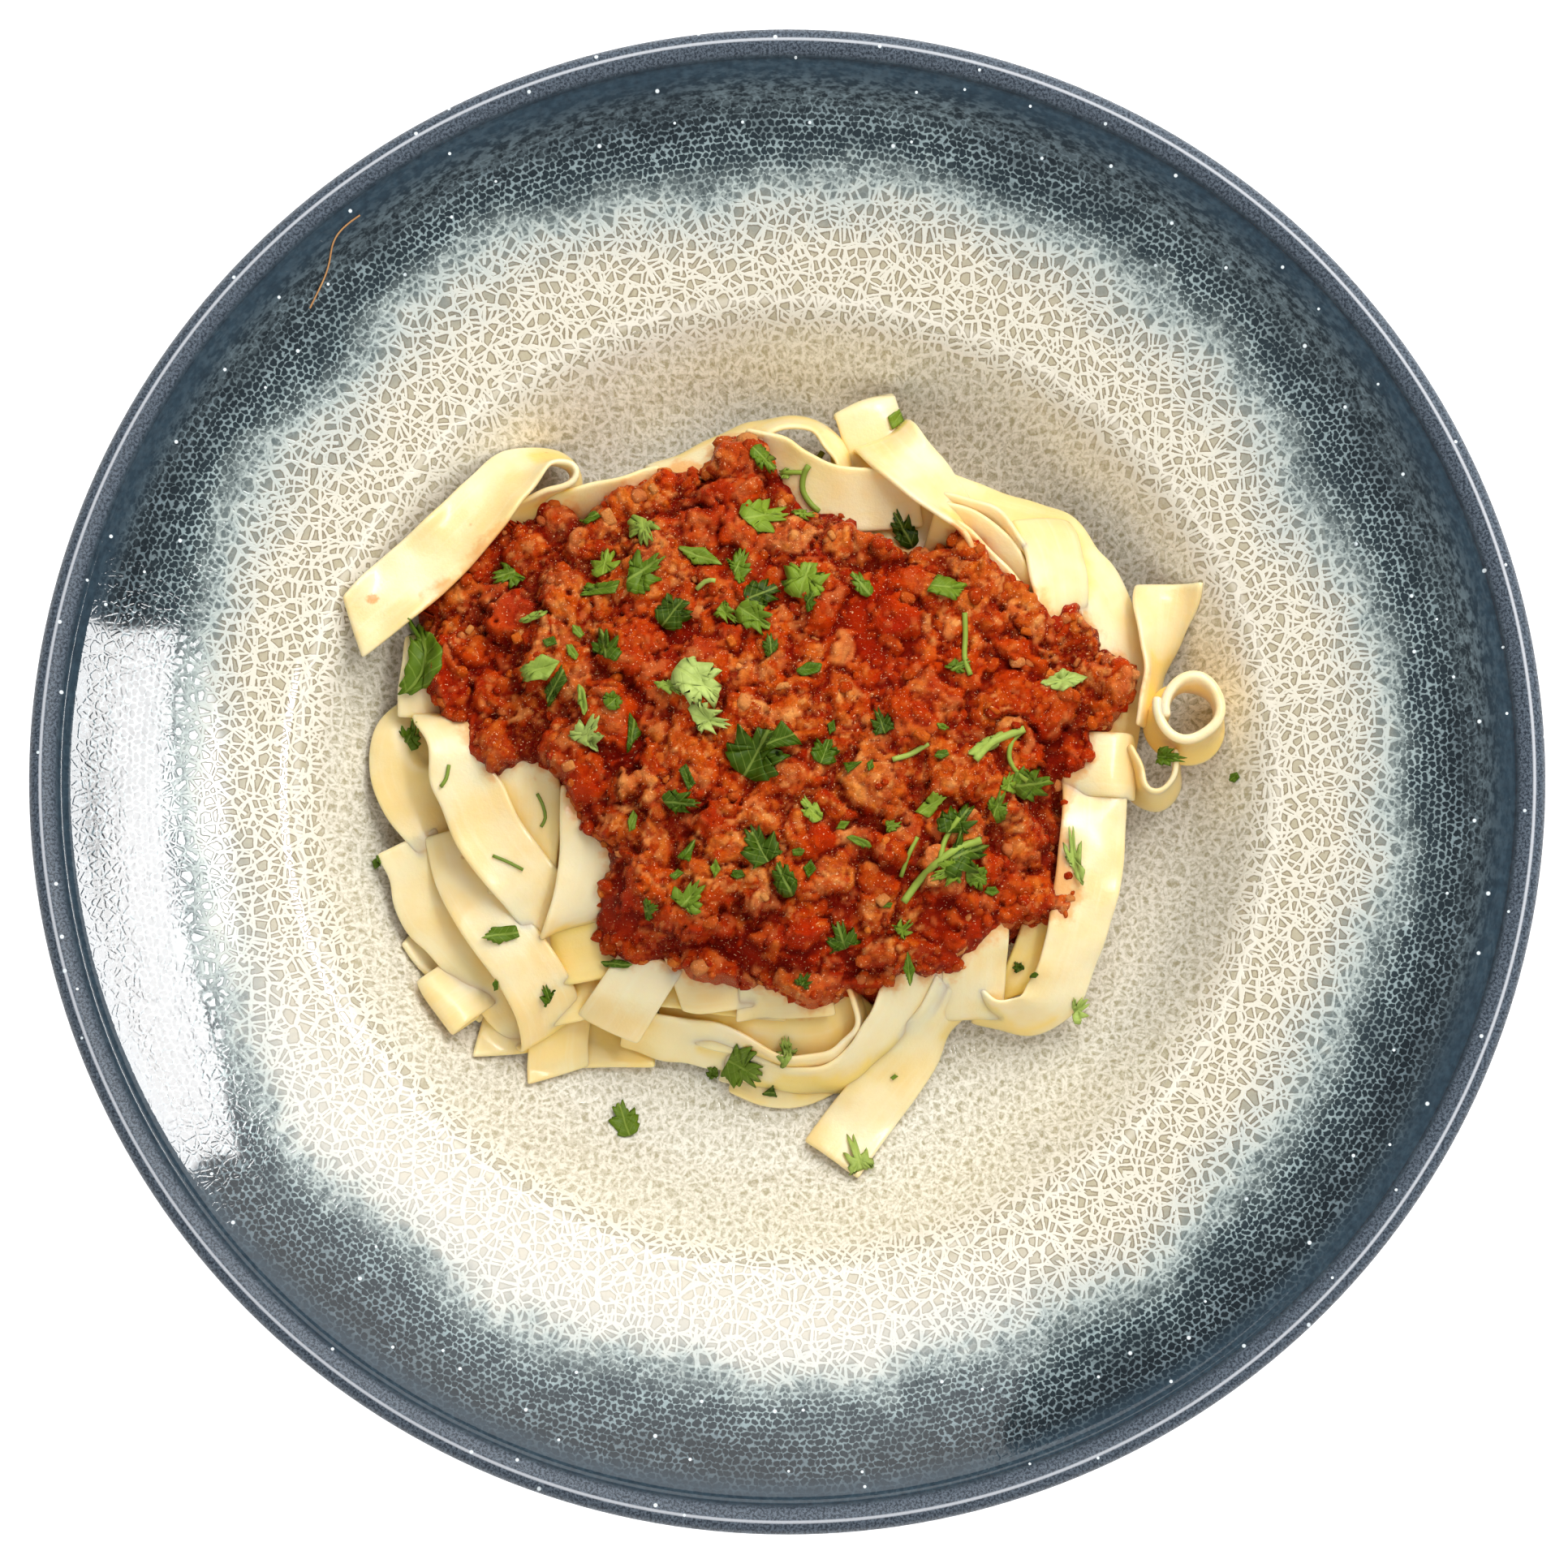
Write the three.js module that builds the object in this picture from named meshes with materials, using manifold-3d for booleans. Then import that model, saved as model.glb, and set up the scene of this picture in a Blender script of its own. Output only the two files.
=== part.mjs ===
// Fettuccine bolognese on its one rimmed plate: plate, heap of pasta ribbons, meat sauce.
// Millimetres, +Z up, the plate's foot ring on z = 0 and its centre on the Z axis.
import * as THREE from "three";
import Module from "manifold-3d";

// Plate
const PLATE_RADIUS = 135;
const RIM_HEIGHT = 42;
const ROLL_RADIUS = 129.2;        // step between the sloping rim and the rolled edge
const ROLL_Z = 40.2;
const WELL_RADIUS = 86.5;         // soft inner edge of the rim
const WELL_EDGE_Z = 27.7;
const FLOOR_Z = 7.3;
const FOOT_INNER = 52.4;
const FOOT_OUTER = 55.6;
const PLATE_STEPS = 72;

// Pasta
const RIBBON_WIDTH = 12;
const RIBBON_THICKNESS = 1.5;
const HEAP_TOP = 32;              // top of the pasta under the sauce
const HEAP_SHOULDER_Z = 17.5;     // height of the pasta just inside its outline
const HEAP_BASE_RADIUS = 52;
const GAP = 0.5;                  // kept between neighbouring solids

// Sauce
const SAUCE_DEPTH = 9.5;          // over the crown of the heap
const SAUCE_EDGE_DEPTH = 3.4;
const SAUCE_REACH = 37;           // shortest reach from the middle, between its lobes

const wasm = await Module();
wasm.setup();

const rad = (degrees) => (degrees * Math.PI) / 180;
const clamp = (v, low, high) => Math.min(high, Math.max(low, v));
const ease = (v) => {
  const t = clamp(v, 0, 1);
  return t * t * (3 - 2 * t);
};

function toManifold(positions, triangles) {
  const mesh = new wasm.Mesh({
    numProp: 3,
    vertProperties: new Float32Array(positions),
    triVerts: new Uint32Array(triangles),
  });
  mesh.merge();
  return new wasm.Manifold(mesh);
}

function outerShell(solid) {
  const pieces = solid.decompose();
  pieces.sort((a, b) => b.volume() - a.volume());
  return pieces[0].simplify(0.03);
}

function toMesh(solid, name, color, roughness) {
  const raw = solid.getMesh();
  const geometry = new THREE.BufferGeometry();
  geometry.setAttribute("position", new THREE.BufferAttribute(new Float32Array(raw.vertProperties), 3));
  geometry.setIndex(new THREE.BufferAttribute(new Uint32Array(raw.triVerts), 1));
  geometry.computeVertexNormals();
  const mesh = new THREE.Mesh(geometry, new THREE.MeshStandardMaterial({ color, roughness, metalness: 0 }));
  mesh.name = name;
  return mesh;
}

// The eating surface: floor, rising wall of the well, soft edge, sloping rim.
const EATING_SURFACE = [
  [0, FLOOR_Z - 0.1],
  [40, FLOOR_Z],
  [54, FLOOR_Z + 0.3],
  [62, FLOOR_Z + 1.1],
  [68, FLOOR_Z + 2.9],
  [73.5, FLOOR_Z + 6.3],
  [78, FLOOR_Z + 11.2],
  [81.5, FLOOR_Z + 15.5],
  [84.5, WELL_EDGE_Z - 1.6],
  [WELL_RADIUS, WELL_EDGE_Z],
  [WELL_RADIUS + 2.5, WELL_EDGE_Z + 1],
  [108, 34.1],
  [ROLL_RADIUS - 0.5, ROLL_Z],
];

function surfaceZ(r) {
  let i = 1;
  while (i < EATING_SURFACE.length - 1 && r > EATING_SURFACE[i][0]) {
    i += 1;
  }
  const [r0, z0] = EATING_SURFACE[i - 1];
  const [r1, z1] = EATING_SURFACE[i];
  return z0 + ((z1 - z0) * clamp(r - r0, 0, r1 - r0)) / (r1 - r0);
}

function plate() {
  const underside = [
    [0, 2.6],
    [FOOT_INNER - 1.6, 2.6],
    [FOOT_INNER, 0],
    [FOOT_OUTER, 0],
    [FOOT_OUTER + 1.2, 3],
    [66, 4.6],
    [74, 8.4],
    [80, 13.8],
    [84.8, 19.6],
    [89, 23],
    [110, 29.6],
    [130.5, 36.2],
  ];
  const roll = [
    [133.8, 38],
    [PLATE_RADIUS, 40],
    [134.5, RIM_HEIGHT - 0.6],
    [133, RIM_HEIGHT],
    [131.2, RIM_HEIGHT - 0.5],
    [ROLL_RADIUS + 0.3, ROLL_Z - 0.1],
  ];
  const top = EATING_SURFACE.slice().reverse();
  const outline = [...underside, ...roll, ...top].map(([r, z]) => new THREE.Vector2(r, z));
  const geometry = new THREE.LatheGeometry(outline, PLATE_STEPS);
  geometry.rotateX(Math.PI / 2);
  const material = new THREE.MeshStandardMaterial({ color: 0xc9c6b4, roughness: 0.3, metalness: 0 });
  const mesh = new THREE.Mesh(geometry, material);
  mesh.name = "plate";
  return mesh;
}

// Closed body between an underside and a top, both given over a disc of uneven radius.
function cushion(reach, topZ, bottomZ, rings, steps) {
  const positions = [];
  const triangles = [];
  for (const side of [1, 0]) {
    const heightAt = side ? topZ : bottomZ;
    positions.push(0, 0, heightAt(0, 0, 0));
    for (let ring = 1; ring <= rings; ring += 1) {
      for (let step = 0; step < steps; step += 1) {
        const angle = (2 * Math.PI * step) / steps;
        const share = ring / rings;
        const r = reach(angle) * share;
        const x = r * Math.cos(angle);
        const y = r * Math.sin(angle);
        positions.push(x, y, heightAt(x, y, share));
      }
    }
  }
  const half = 1 + rings * steps;
  const at = (side, ring, step) => (side ? 0 : half) + 1 + (ring - 1) * steps + (step % steps);
  for (let step = 0; step < steps; step += 1) {
    triangles.push(0, at(1, 1, step), at(1, 1, step + 1));
    triangles.push(half, at(0, 1, step + 1), at(0, 1, step));
    for (let ring = 1; ring < rings; ring += 1) {
      const a = at(1, ring, step);
      const b = at(1, ring, step + 1);
      const c = at(1, ring + 1, step);
      const d = at(1, ring + 1, step + 1);
      triangles.push(a, c, d, a, d, b);
      const e = at(0, ring, step);
      const f = at(0, ring, step + 1);
      const g = at(0, ring + 1, step);
      const h = at(0, ring + 1, step + 1);
      triangles.push(e, h, g, e, f, h);
    }
    const p = at(1, rings, step);
    const q = at(1, rings, step + 1);
    const s = at(0, rings, step);
    const t = at(0, rings, step + 1);
    triangles.push(p, s, t, p, t, q);
  }
  return toManifold(positions, triangles);
}

// Reach in one direction: a base radius with rounded lobes, each at a bearing in degrees.
function lobed(base, lobes) {
  return (angle) => {
    let reach = base;
    for (const { at, out, spread } of lobes) {
      const away = Math.atan2(Math.sin(angle - rad(at)), Math.cos(angle - rad(at)));
      reach += out * Math.exp(-((away / rad(spread)) ** 2));
    }
    return reach;
  };
}

const heapReach = lobed(HEAP_BASE_RADIUS - 6, [
  { at: 15, out: 8, spread: 24 },
  { at: 52, out: 14, spread: 24 },
  { at: 95, out: 14, spread: 26 },
  { at: 142, out: 15, spread: 26 },
  { at: 188, out: 14, spread: 26 },
  { at: 215, out: 8, spread: 24 },
  { at: 330, out: 6, spread: 20 },
]);

function heapZ(x, y, grown) {
  const angle = Math.atan2(y, x);
  const share = Math.min(1, Math.hypot(x, y) / heapReach(angle));
  const crown = (HEAP_TOP - HEAP_SHOULDER_Z) * (1 - share ** 3);
  const ridges = 0.8 * Math.sin(x * 0.23 + y * 0.11) * Math.cos(y * 0.21);
  return HEAP_SHOULDER_Z + crown + ridges + grown;
}

function heap(grown) {
  return cushion(
    (angle) => heapReach(angle) + grown,
    (x, y) => heapZ(x, y, grown),
    (x, y) => surfaceZ(Math.hypot(x, y)) + GAP - grown,
    8,
    48,
  );
}

// One flat ribbon through stations [x, y, z, bearing, slope]: the middle of the ribbon and
// the direction of its width, as a bearing in plan and a slope above the horizontal.
function ribbon(stations, grown = 0) {
  const middle = [];
  const across = [];
  for (const [x, y, z, bearing, slope] of stations) {
    middle.push(new THREE.Vector3(x, y, z));
    across.push(
      new THREE.Vector3(
        Math.cos(rad(bearing)) * Math.cos(rad(slope)),
        Math.sin(rad(bearing)) * Math.cos(rad(slope)),
        Math.sin(rad(slope)),
      ),
    );
  }
  const line = new THREE.CatmullRomCurve3(middle, false, "centripetal");
  const widths = new THREE.CatmullRomCurve3(across, false, "uniform");
  const steps = (stations.length - 1) * 2;
  const rows = [];
  for (let step = 0; step <= steps; step += 1) {
    const t = step / steps;
    const point = line.getPoint(t);
    const width = widths.getPoint(t).normalize();
    const along = line.getTangent(t);
    const face = new THREE.Vector3().crossVectors(along, width).normalize();
    const halfWidth = RIBBON_WIDTH / 2 + grown;
    const halfThick = RIBBON_THICKNESS / 2 + grown;
    const corners = [[-1, -1], [1, -1], [1, 1], [-1, 1]].map(([u, v]) => {
      const corner = point.clone();
      corner.addScaledVector(width, u * halfWidth);
      return corner.addScaledVector(face, v * halfThick);
    });
    const drop = (corner) => surfaceZ(Math.hypot(corner.x, corner.y)) + GAP - grown - corner.z;
    const liftLeft = Math.max(0, drop(corners[0]), drop(corners[3]));
    const liftRight = Math.max(0, drop(corners[1]), drop(corners[2]));
    corners.forEach((corner, i) => {
      const lift = i === 0 || i === 3 ? liftLeft : liftRight;
      rows.push(corner.x, corner.y, corner.z + lift);
    });
  }
  const triangles = [0, 2, 1, 0, 3, 2];
  for (let step = 0; step < steps; step += 1) {
    for (let side = 0; side < 4; side += 1) {
      const a = step * 4 + side;
      const b = step * 4 + ((side + 1) % 4);
      triangles.push(a, b, b + 4, a, b + 4, a + 4);
    }
  }
  const last = steps * 4;
  triangles.push(last, last + 1, last + 2, last, last + 2, last + 3);
  return toManifold(rows, triangles);
}

// The ribbons that make the heap's uneven outline, clockwise from the upper left.
const RIBBONS = {
  looseEnd: [
    [-79, 29.5, 29, 108, 8], [-67.5, 39.5, 27, 118, 5], [-57, 51, 27, 126, 15],
    [-49.5, 58, 26, 132, 40], [-43.5, 61.5, 22, 120, 80], [-39, 56, 19, 60, 80], [-38, 48, 18, 40, 60],
  ],
  topArc: [
    [-28, 54, 22, 110, 30], [-14, 62, 22, 100, 55], [0, 66, 22, 90, 60], [9, 64, 21, 60, 70],
    [13, 57, 20, 60, 40],
  ],
  peak: [[8, 60, 18, 150, 20], [13, 66, 19, 160, 15], [17.5, 70, 16, 170, 10]],
  bandUpperRight: [
    [13, 64, 22, 60, 10], [19, 61, 25, 50, 5], [25, 57, 27, 42, 5], [30, 51.5, 28, 35, 40],
    [34, 44, 28, 20, 60],
  ],
  rightInner: [[46, 50, 22, 15, 0], [49.5, 43, 25, 0, 0], [50, 35, 28, 0, -5], [48, 26, 29, 0, 0]],
  rightOuter: [
    [34, 54, 20, 80, 10], [46, 50, 21, 60, 5], [55, 43, 21, 35, 5], [59.5, 34, 22, 8, 5],
    [60, 22, 22, 0, 5], [57, 12, 22, 0, 0],
  ],
  rightEnd: [[69.5, 38, 20, 0, 0], [68.3, 30, 20, 0, 35], [67.2, 22, 20, 0, 70], [64, 14, 18, 0, 80]],
  curl: [
    [50, 4, 20, 90, 0], [58, 5, 22, 90, 0], [62.5, 4, 21, 85, 40], [66, 0.5, 20, 90, 80], [70, 2.5, 19, 0, 80],
    [68.5, 9, 20, 0, 80], [68, 15, 21, 0, 80], [72.5, 20, 21, 90, 80], [78, 16, 22, 0, 84],
    [75, 10, 21, 90, 80],
  ],
  rightFold: [
    [55, 1, 22, 0, 0], [55, -10, 23, 5, 0], [53, -22, 22, 12, 5], [50, -32, 20, 22, 10],
    [46, -39, 17, 40, 50], [39, -39.5, 16, 90, 75], [33.5, -38.5, 17, 60, 70],
  ],
  riser: [[33.5, -40, 14, 5, 0], [33.8, -35, 20, 8, 0], [34, -29, 25, 8, 0], [33, -22, 27, 8, 0]],
  tail: [
    [26, -40, 17, -20, 60], [20, -48, 14, -28, 15], [15, -55.5, 11.5, -32, 5], [8, -65, 12, -37, 0],
  ],
  frontBand: [
    [30, -32, 24, -50, 10], [24, -40, 21, -48, 30], [14, -46, 18, -70, 50], [2, -48, 17, -85, 60],
    [-10, -45, 17, -95, 60], [-24, -43, 17, -100, 60],
  ],
  frontLoop: [
    [12, -35, 22, 20, 80], [13, -41, 20, 20, 80], [6, -46, 18, 90, 75], [-8, -45, 17, 90, 70],
  ],
  frontEnd: [[-24, -30, 25, -25, 0], [-29, -37.5, 23, -25, 0], [-33, -43, 18, -25, 0]],
  leftCorner: [[-36, -3, 27, 0, 0], [-37, -13, 27, 5, 0], [-39.5, -23.5, 22, 17, 0], [-38, -27, 16, 17, 0]],
  leftBand: [
    [-62, 16, 22, 0, 0], [-62, 11, 26, 0, 0], [-58, -2, 27, 20, 0], [-51, -12, 26, 38, 0],
    [-44.5, -20, 22, 50, 0], [-41, -23, 16, 50, 0],
  ],
  leftLoop: [
    [-66, 15, 18, 30, 20], [-70, 9, 19, 10, 20], [-69.5, 2, 19, -10, 20], [-65.5, -4, 17, 10, 20],
    [-62, -11, 15, 20, 0],
  ],
  leftInner: [
    [-60, -7, 18, 20, 0], [-58, -15, 21, 27, 0], [-54, -22, 22, 33, 0], [-48.5, -30, 22, 37, 0],
    [-44, -38, 19, 30, 0], [-43, -43, 14, 30, 0], [-45, -39, 11, 30, 0],
  ],
  leftOuter: [
    [-69.5, -8, 18, 26, 20], [-68, -17, 17, 15, 25], [-62, -27, 16, 30, 25], [-55, -36, 15, 38, 25],
    [-49, -41, 13, 38, 20],
  ],
  lowCurl: [
    [-53, -30, 16, -51, 0], [-59, -35.5, 18.5, -51, 0], [-63.5, -39.5, 19.5, -51, 0],
    [-65, -41, 17.5, -51, 0], [-61, -37, 14.5, -51, 0],
  ],
  lowEnd: [[-41, -38, 13, 20, 0], [-41.5, -44, 12, 20, 0], [-41.8, -50, 10, 20, 0]],
  floorStrip: [[-44, -44, 9.2, 80, 0], [-34, -45, 9.2, 88, 0], [-24, -44, 9.2, 90, 0]],
};

function pasta(grown) {
  let solid = heap(grown);
  for (const stations of Object.values(RIBBONS)) {
    solid = solid.add(ribbon(stations, grown));
  }
  return outerShell(solid);
}

const sauceReach = lobed(SAUCE_REACH, [
  { at: 18, out: 21, spread: 20 },
  { at: 56, out: 12, spread: 20 },
  { at: 100, out: 25, spread: 16 },
  { at: 130, out: 20, spread: 15 },
  { at: 158, out: 32, spread: 16 },
  { at: 332, out: 15, spread: 20 },
]);

function sauceTop(x, y, share) {
  const depth = SAUCE_EDGE_DEPTH + (SAUCE_DEPTH - SAUCE_EDGE_DEPTH) * (1 - ease(share ** 1.5));
  const lumps = Math.sin(x * 0.31 + 0.6) * Math.sin(y * 0.27 - 0.4) + 0.6 * Math.sin(x * 0.13 - y * 0.19);
  return heapZ(x, y, 0) + depth * (share < 1 ? 1 : 0.5) + 0.8 * lumps * (1 - 0.5 * share);
}

function sauce() {
  const body = cushion(sauceReach, sauceTop, (x, y) => heapZ(x, y, 0) - 2, 9, 48);
  return outerShell(body.subtract(pasta(GAP)));
}

const fettuccine = toMesh(pasta(0), "fettuccine", 0xf2dc9c, 0.55);
const bolognese = toMesh(sauce(), "bolognese_sauce", 0xa8391c, 0.35);

const dish = new THREE.Group();
dish.name = "fettuccine_bolognese";
dish.add(plate(), fettuccine, bolognese);
export default dish;
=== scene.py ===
import math
import random

import bmesh
import bpy
import numpy as np
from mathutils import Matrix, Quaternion, Vector
from mathutils.bvhtree import BVHTree


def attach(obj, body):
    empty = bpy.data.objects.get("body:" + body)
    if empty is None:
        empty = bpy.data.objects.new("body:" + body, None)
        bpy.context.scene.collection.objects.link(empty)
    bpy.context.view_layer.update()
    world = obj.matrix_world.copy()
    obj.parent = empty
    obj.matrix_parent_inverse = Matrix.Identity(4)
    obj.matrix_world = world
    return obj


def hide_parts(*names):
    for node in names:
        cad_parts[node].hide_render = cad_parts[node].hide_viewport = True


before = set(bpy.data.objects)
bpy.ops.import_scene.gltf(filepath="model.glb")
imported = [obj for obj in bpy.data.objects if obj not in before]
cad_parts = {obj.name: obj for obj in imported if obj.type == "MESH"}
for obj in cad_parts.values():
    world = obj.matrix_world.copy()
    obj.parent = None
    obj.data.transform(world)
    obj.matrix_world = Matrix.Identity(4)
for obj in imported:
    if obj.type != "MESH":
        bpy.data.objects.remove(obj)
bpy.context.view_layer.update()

scene = bpy.context.scene

# Table and studio: the dish stands on a plain white table and is seen from almost straight above.
# A slim window shines in the rim on the left; three broad panels and pale walls all round give the
# soft light.
MM = 0.001
VIEW_DISTANCE = 1.800
VIEW_ELEVATION = math.radians(83.0)
VIEW_TARGET = Vector((-0.00058, -0.00182, 0.042))
LENS = 232.6
TABLE_HALF_WIDTH = 3.0
WALL_STRENGTH = 0.38


def srgb(red, green, blue):
    """A display colour, 0 to 255, as the linear colour that a shader takes."""
    linear = []
    for value in (red, green, blue):
        share = value / 255.0
        linear.append(share / 12.92 if share <= 0.04045 else ((share + 0.055) / 1.055) ** 2.4)
    return (*linear, 1.0)


def make_piece(name, shape, *materials):
    """Turns a bmesh into a smooth-faced piece of the scene."""
    for face in shape.faces:
        face.smooth = True
    mesh = bpy.data.meshes.new(name)
    shape.to_mesh(mesh)
    shape.free()
    for material in materials:
        mesh.materials.append(material)
    piece = bpy.data.objects.new(name, mesh)
    scene.collection.objects.link(piece)
    return piece


camera_data = bpy.data.cameras.new("table_camera")
camera_data.sensor_width = 36.0
camera_data.lens = LENS
camera_data.clip_start = 0.01
camera = bpy.data.objects.new("table_camera", camera_data)
to_camera = Vector((0.0, -math.cos(VIEW_ELEVATION), math.sin(VIEW_ELEVATION)))
camera.location = VIEW_TARGET + VIEW_DISTANCE * to_camera
camera.rotation_euler = (math.pi / 2 - VIEW_ELEVATION, 0.0, 0.0)
scene.collection.objects.link(camera)
scene.camera = camera
scene.view_settings.view_transform = "Standard"
scene.view_settings.look = "None"


def hang_light(name, bearing, lean, distance, size, watts, colour, mirrored=True, roll=0.0):
    """A flat panel light at a bearing and a lean from straight up, in degrees, aimed at the dish."""
    panel = bpy.data.lights.new(name, "AREA")
    panel.shape = "RECTANGLE"
    panel.size, panel.size_y = size
    panel.energy = watts
    panel.color = colour
    light = bpy.data.objects.new(name, panel)
    turn, tip = math.radians(bearing), math.radians(lean)
    to_light = Vector((math.cos(turn) * math.sin(tip), math.sin(turn) * math.sin(tip), math.cos(tip)))
    light.location = VIEW_TARGET + distance * to_light
    facing = (VIEW_TARGET - light.location).to_track_quat("-Z", "Y")
    light.rotation_euler = (facing @ Quaternion((0.0, 0.0, 1.0), math.radians(roll))).to_euler()
    light.visible_glossy = mirrored
    scene.collection.objects.link(light)


hang_light("window", bearing=27.3, lean=26.9, distance=0.94, size=(0.33, 0.066), watts=1.6,
           colour=(1.0, 0.99, 0.98), roll=-22.0)
hang_light("bright_wall", bearing=60, lean=55, distance=1.3, size=(1.1, 1.1), watts=13.7,
           colour=(1.0, 0.98, 0.95), mirrored=False)
hang_light("near_wall", bearing=272, lean=40, distance=1.3, size=(1.1, 1.1), watts=6.0,
           colour=(1.0, 0.98, 0.96), mirrored=False)
hang_light("ceiling", bearing=66, lean=35, distance=1.3, size=(1.0, 1.0), watts=7.0,
           colour=(0.98, 0.99, 1.0))

walls = bpy.data.worlds.new("pale_walls")
walls.use_nodes = True
wall_glow = walls.node_tree.nodes["Background"]
wall_glow.inputs["Color"].default_value = (0.94, 0.97, 1.0, 1.0)
wall_glow.inputs["Strength"].default_value = WALL_STRENGTH
scene.world = walls

table_shape = bmesh.new()
bmesh.ops.create_grid(table_shape, x_segments=1, y_segments=1, size=TABLE_HALF_WIDTH)
table_finish = bpy.data.materials.new("white_table")
table_finish.use_nodes = True
table_shader = table_finish.node_tree.nodes["Principled BSDF"]
table_shader.inputs["Base Color"].default_value = (0.55, 0.55, 0.55, 1.0)
table_shader.inputs["Roughness"].default_value = 0.9
table_shader.inputs["Emission Color"].default_value = (1.0, 1.0, 1.0, 1.0)
table_shader.inputs["Emission Strength"].default_value = 0.95
table = make_piece("table", table_shape, table_finish)

# Plate: one wide-rimmed stoneware pasta plate, thrown as a round and fired once. A reactive glaze
# runs from slate blue at the rolled edge, through a band of fine dots, into a raised cream
# network on the rim and a softer crackle in the well. The foot ring is bare clay.
PLATE_STEPS = 256
PROFILE_STEP = 1.4
EATING_SURFACE = [
    (0.0, 7.2), (40.0, 7.3), (54.0, 7.6), (62.0, 8.4), (68.0, 10.2), (73.5, 13.6), (78.0, 18.5),
    (81.5, 22.8), (84.5, 26.1), (86.5, 27.6), (89.0, 28.6), (98.0, 30.9), (108.0, 33.7), (118.0, 36.7),
    (128.7, 40.2),
]
ROLLED_EDGE = [
    (129.3, 40.1), (130.0, 40.9), (131.3, 41.6), (132.9, 42.0), (134.2, 41.4), (134.9, 40.2), (134.3, 38.7),
    (133.0, 37.4),
]
UNDERSIDE = [
    (130.5, 36.2), (110.0, 29.6), (89.0, 23.0), (84.8, 19.6), (80.0, 13.8), (74.0, 8.4), (66.0, 4.6),
    (56.8, 3.0), (55.7, 0.9), (55.0, 0.0), (53.0, 0.0), (52.2, 0.9), (50.8, 2.6), (40.0, 2.7), (0.0, 2.7),
]


def floor_height(x, y):
    """Height of the eating surface, in mm, at a place on the plate."""
    radius = np.hypot(x, y)
    return np.interp(radius, [r for r, z in EATING_SURFACE], [z for r, z in EATING_SURFACE])


# The food's places are measured on a plan of its own, which is a touch larger than life and whose
# middle lies this many mm in front of the plate's.
PLAN_SHARE = 0.985
PLAN_SHIFT = -1.16


def on_plate(x, y):
    """A place on the food's plan, in mm, as a place on the plate."""
    return x * PLAN_SHARE, y * PLAN_SHARE + PLAN_SHIFT


def curve_through(points, step):
    """Even samples of a centripetal curve through points of any dimension."""
    points = np.asarray(points, float)
    gaps = np.linalg.norm(np.diff(points[:, :3], axis=0), axis=1)
    knots = np.concatenate([[0.0], np.cumsum(np.sqrt(gaps))])
    slopes = np.diff(points, axis=0) / np.diff(knots)[:, None]
    before, after = np.diff(knots)[:-1, None], np.diff(knots)[1:, None]
    inner = (slopes[:-1] * after + slopes[1:] * before) / (before + after)
    tangents = np.concatenate([slopes[:1], inner, slopes[-1:]])
    dense = np.linspace(0.0, knots[-1], 24 * len(points))
    span = np.clip(np.searchsorted(knots, dense, side="right") - 1, 0, len(points) - 2)
    width = np.diff(knots)[span]
    t = ((dense - knots[span]) / width)[:, None]
    width = width[:, None]
    line = ((2 * t**3 - 3 * t**2 + 1) * points[span] + (t**3 - 2 * t**2 + t) * width * tangents[span]
            + (3 * t**2 - 2 * t**3) * points[span + 1] + (t**3 - t**2) * width * tangents[span + 1])
    run = np.concatenate([[0.0], np.cumsum(np.linalg.norm(np.diff(line[:, :3], axis=0), axis=1))])
    count = max(2, int(round(run[-1] / step)))
    even = np.linspace(0.0, run[-1], count + 1)
    return np.stack([np.interp(even, run, line[:, k]) for k in range(points.shape[1])], axis=1)


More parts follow.
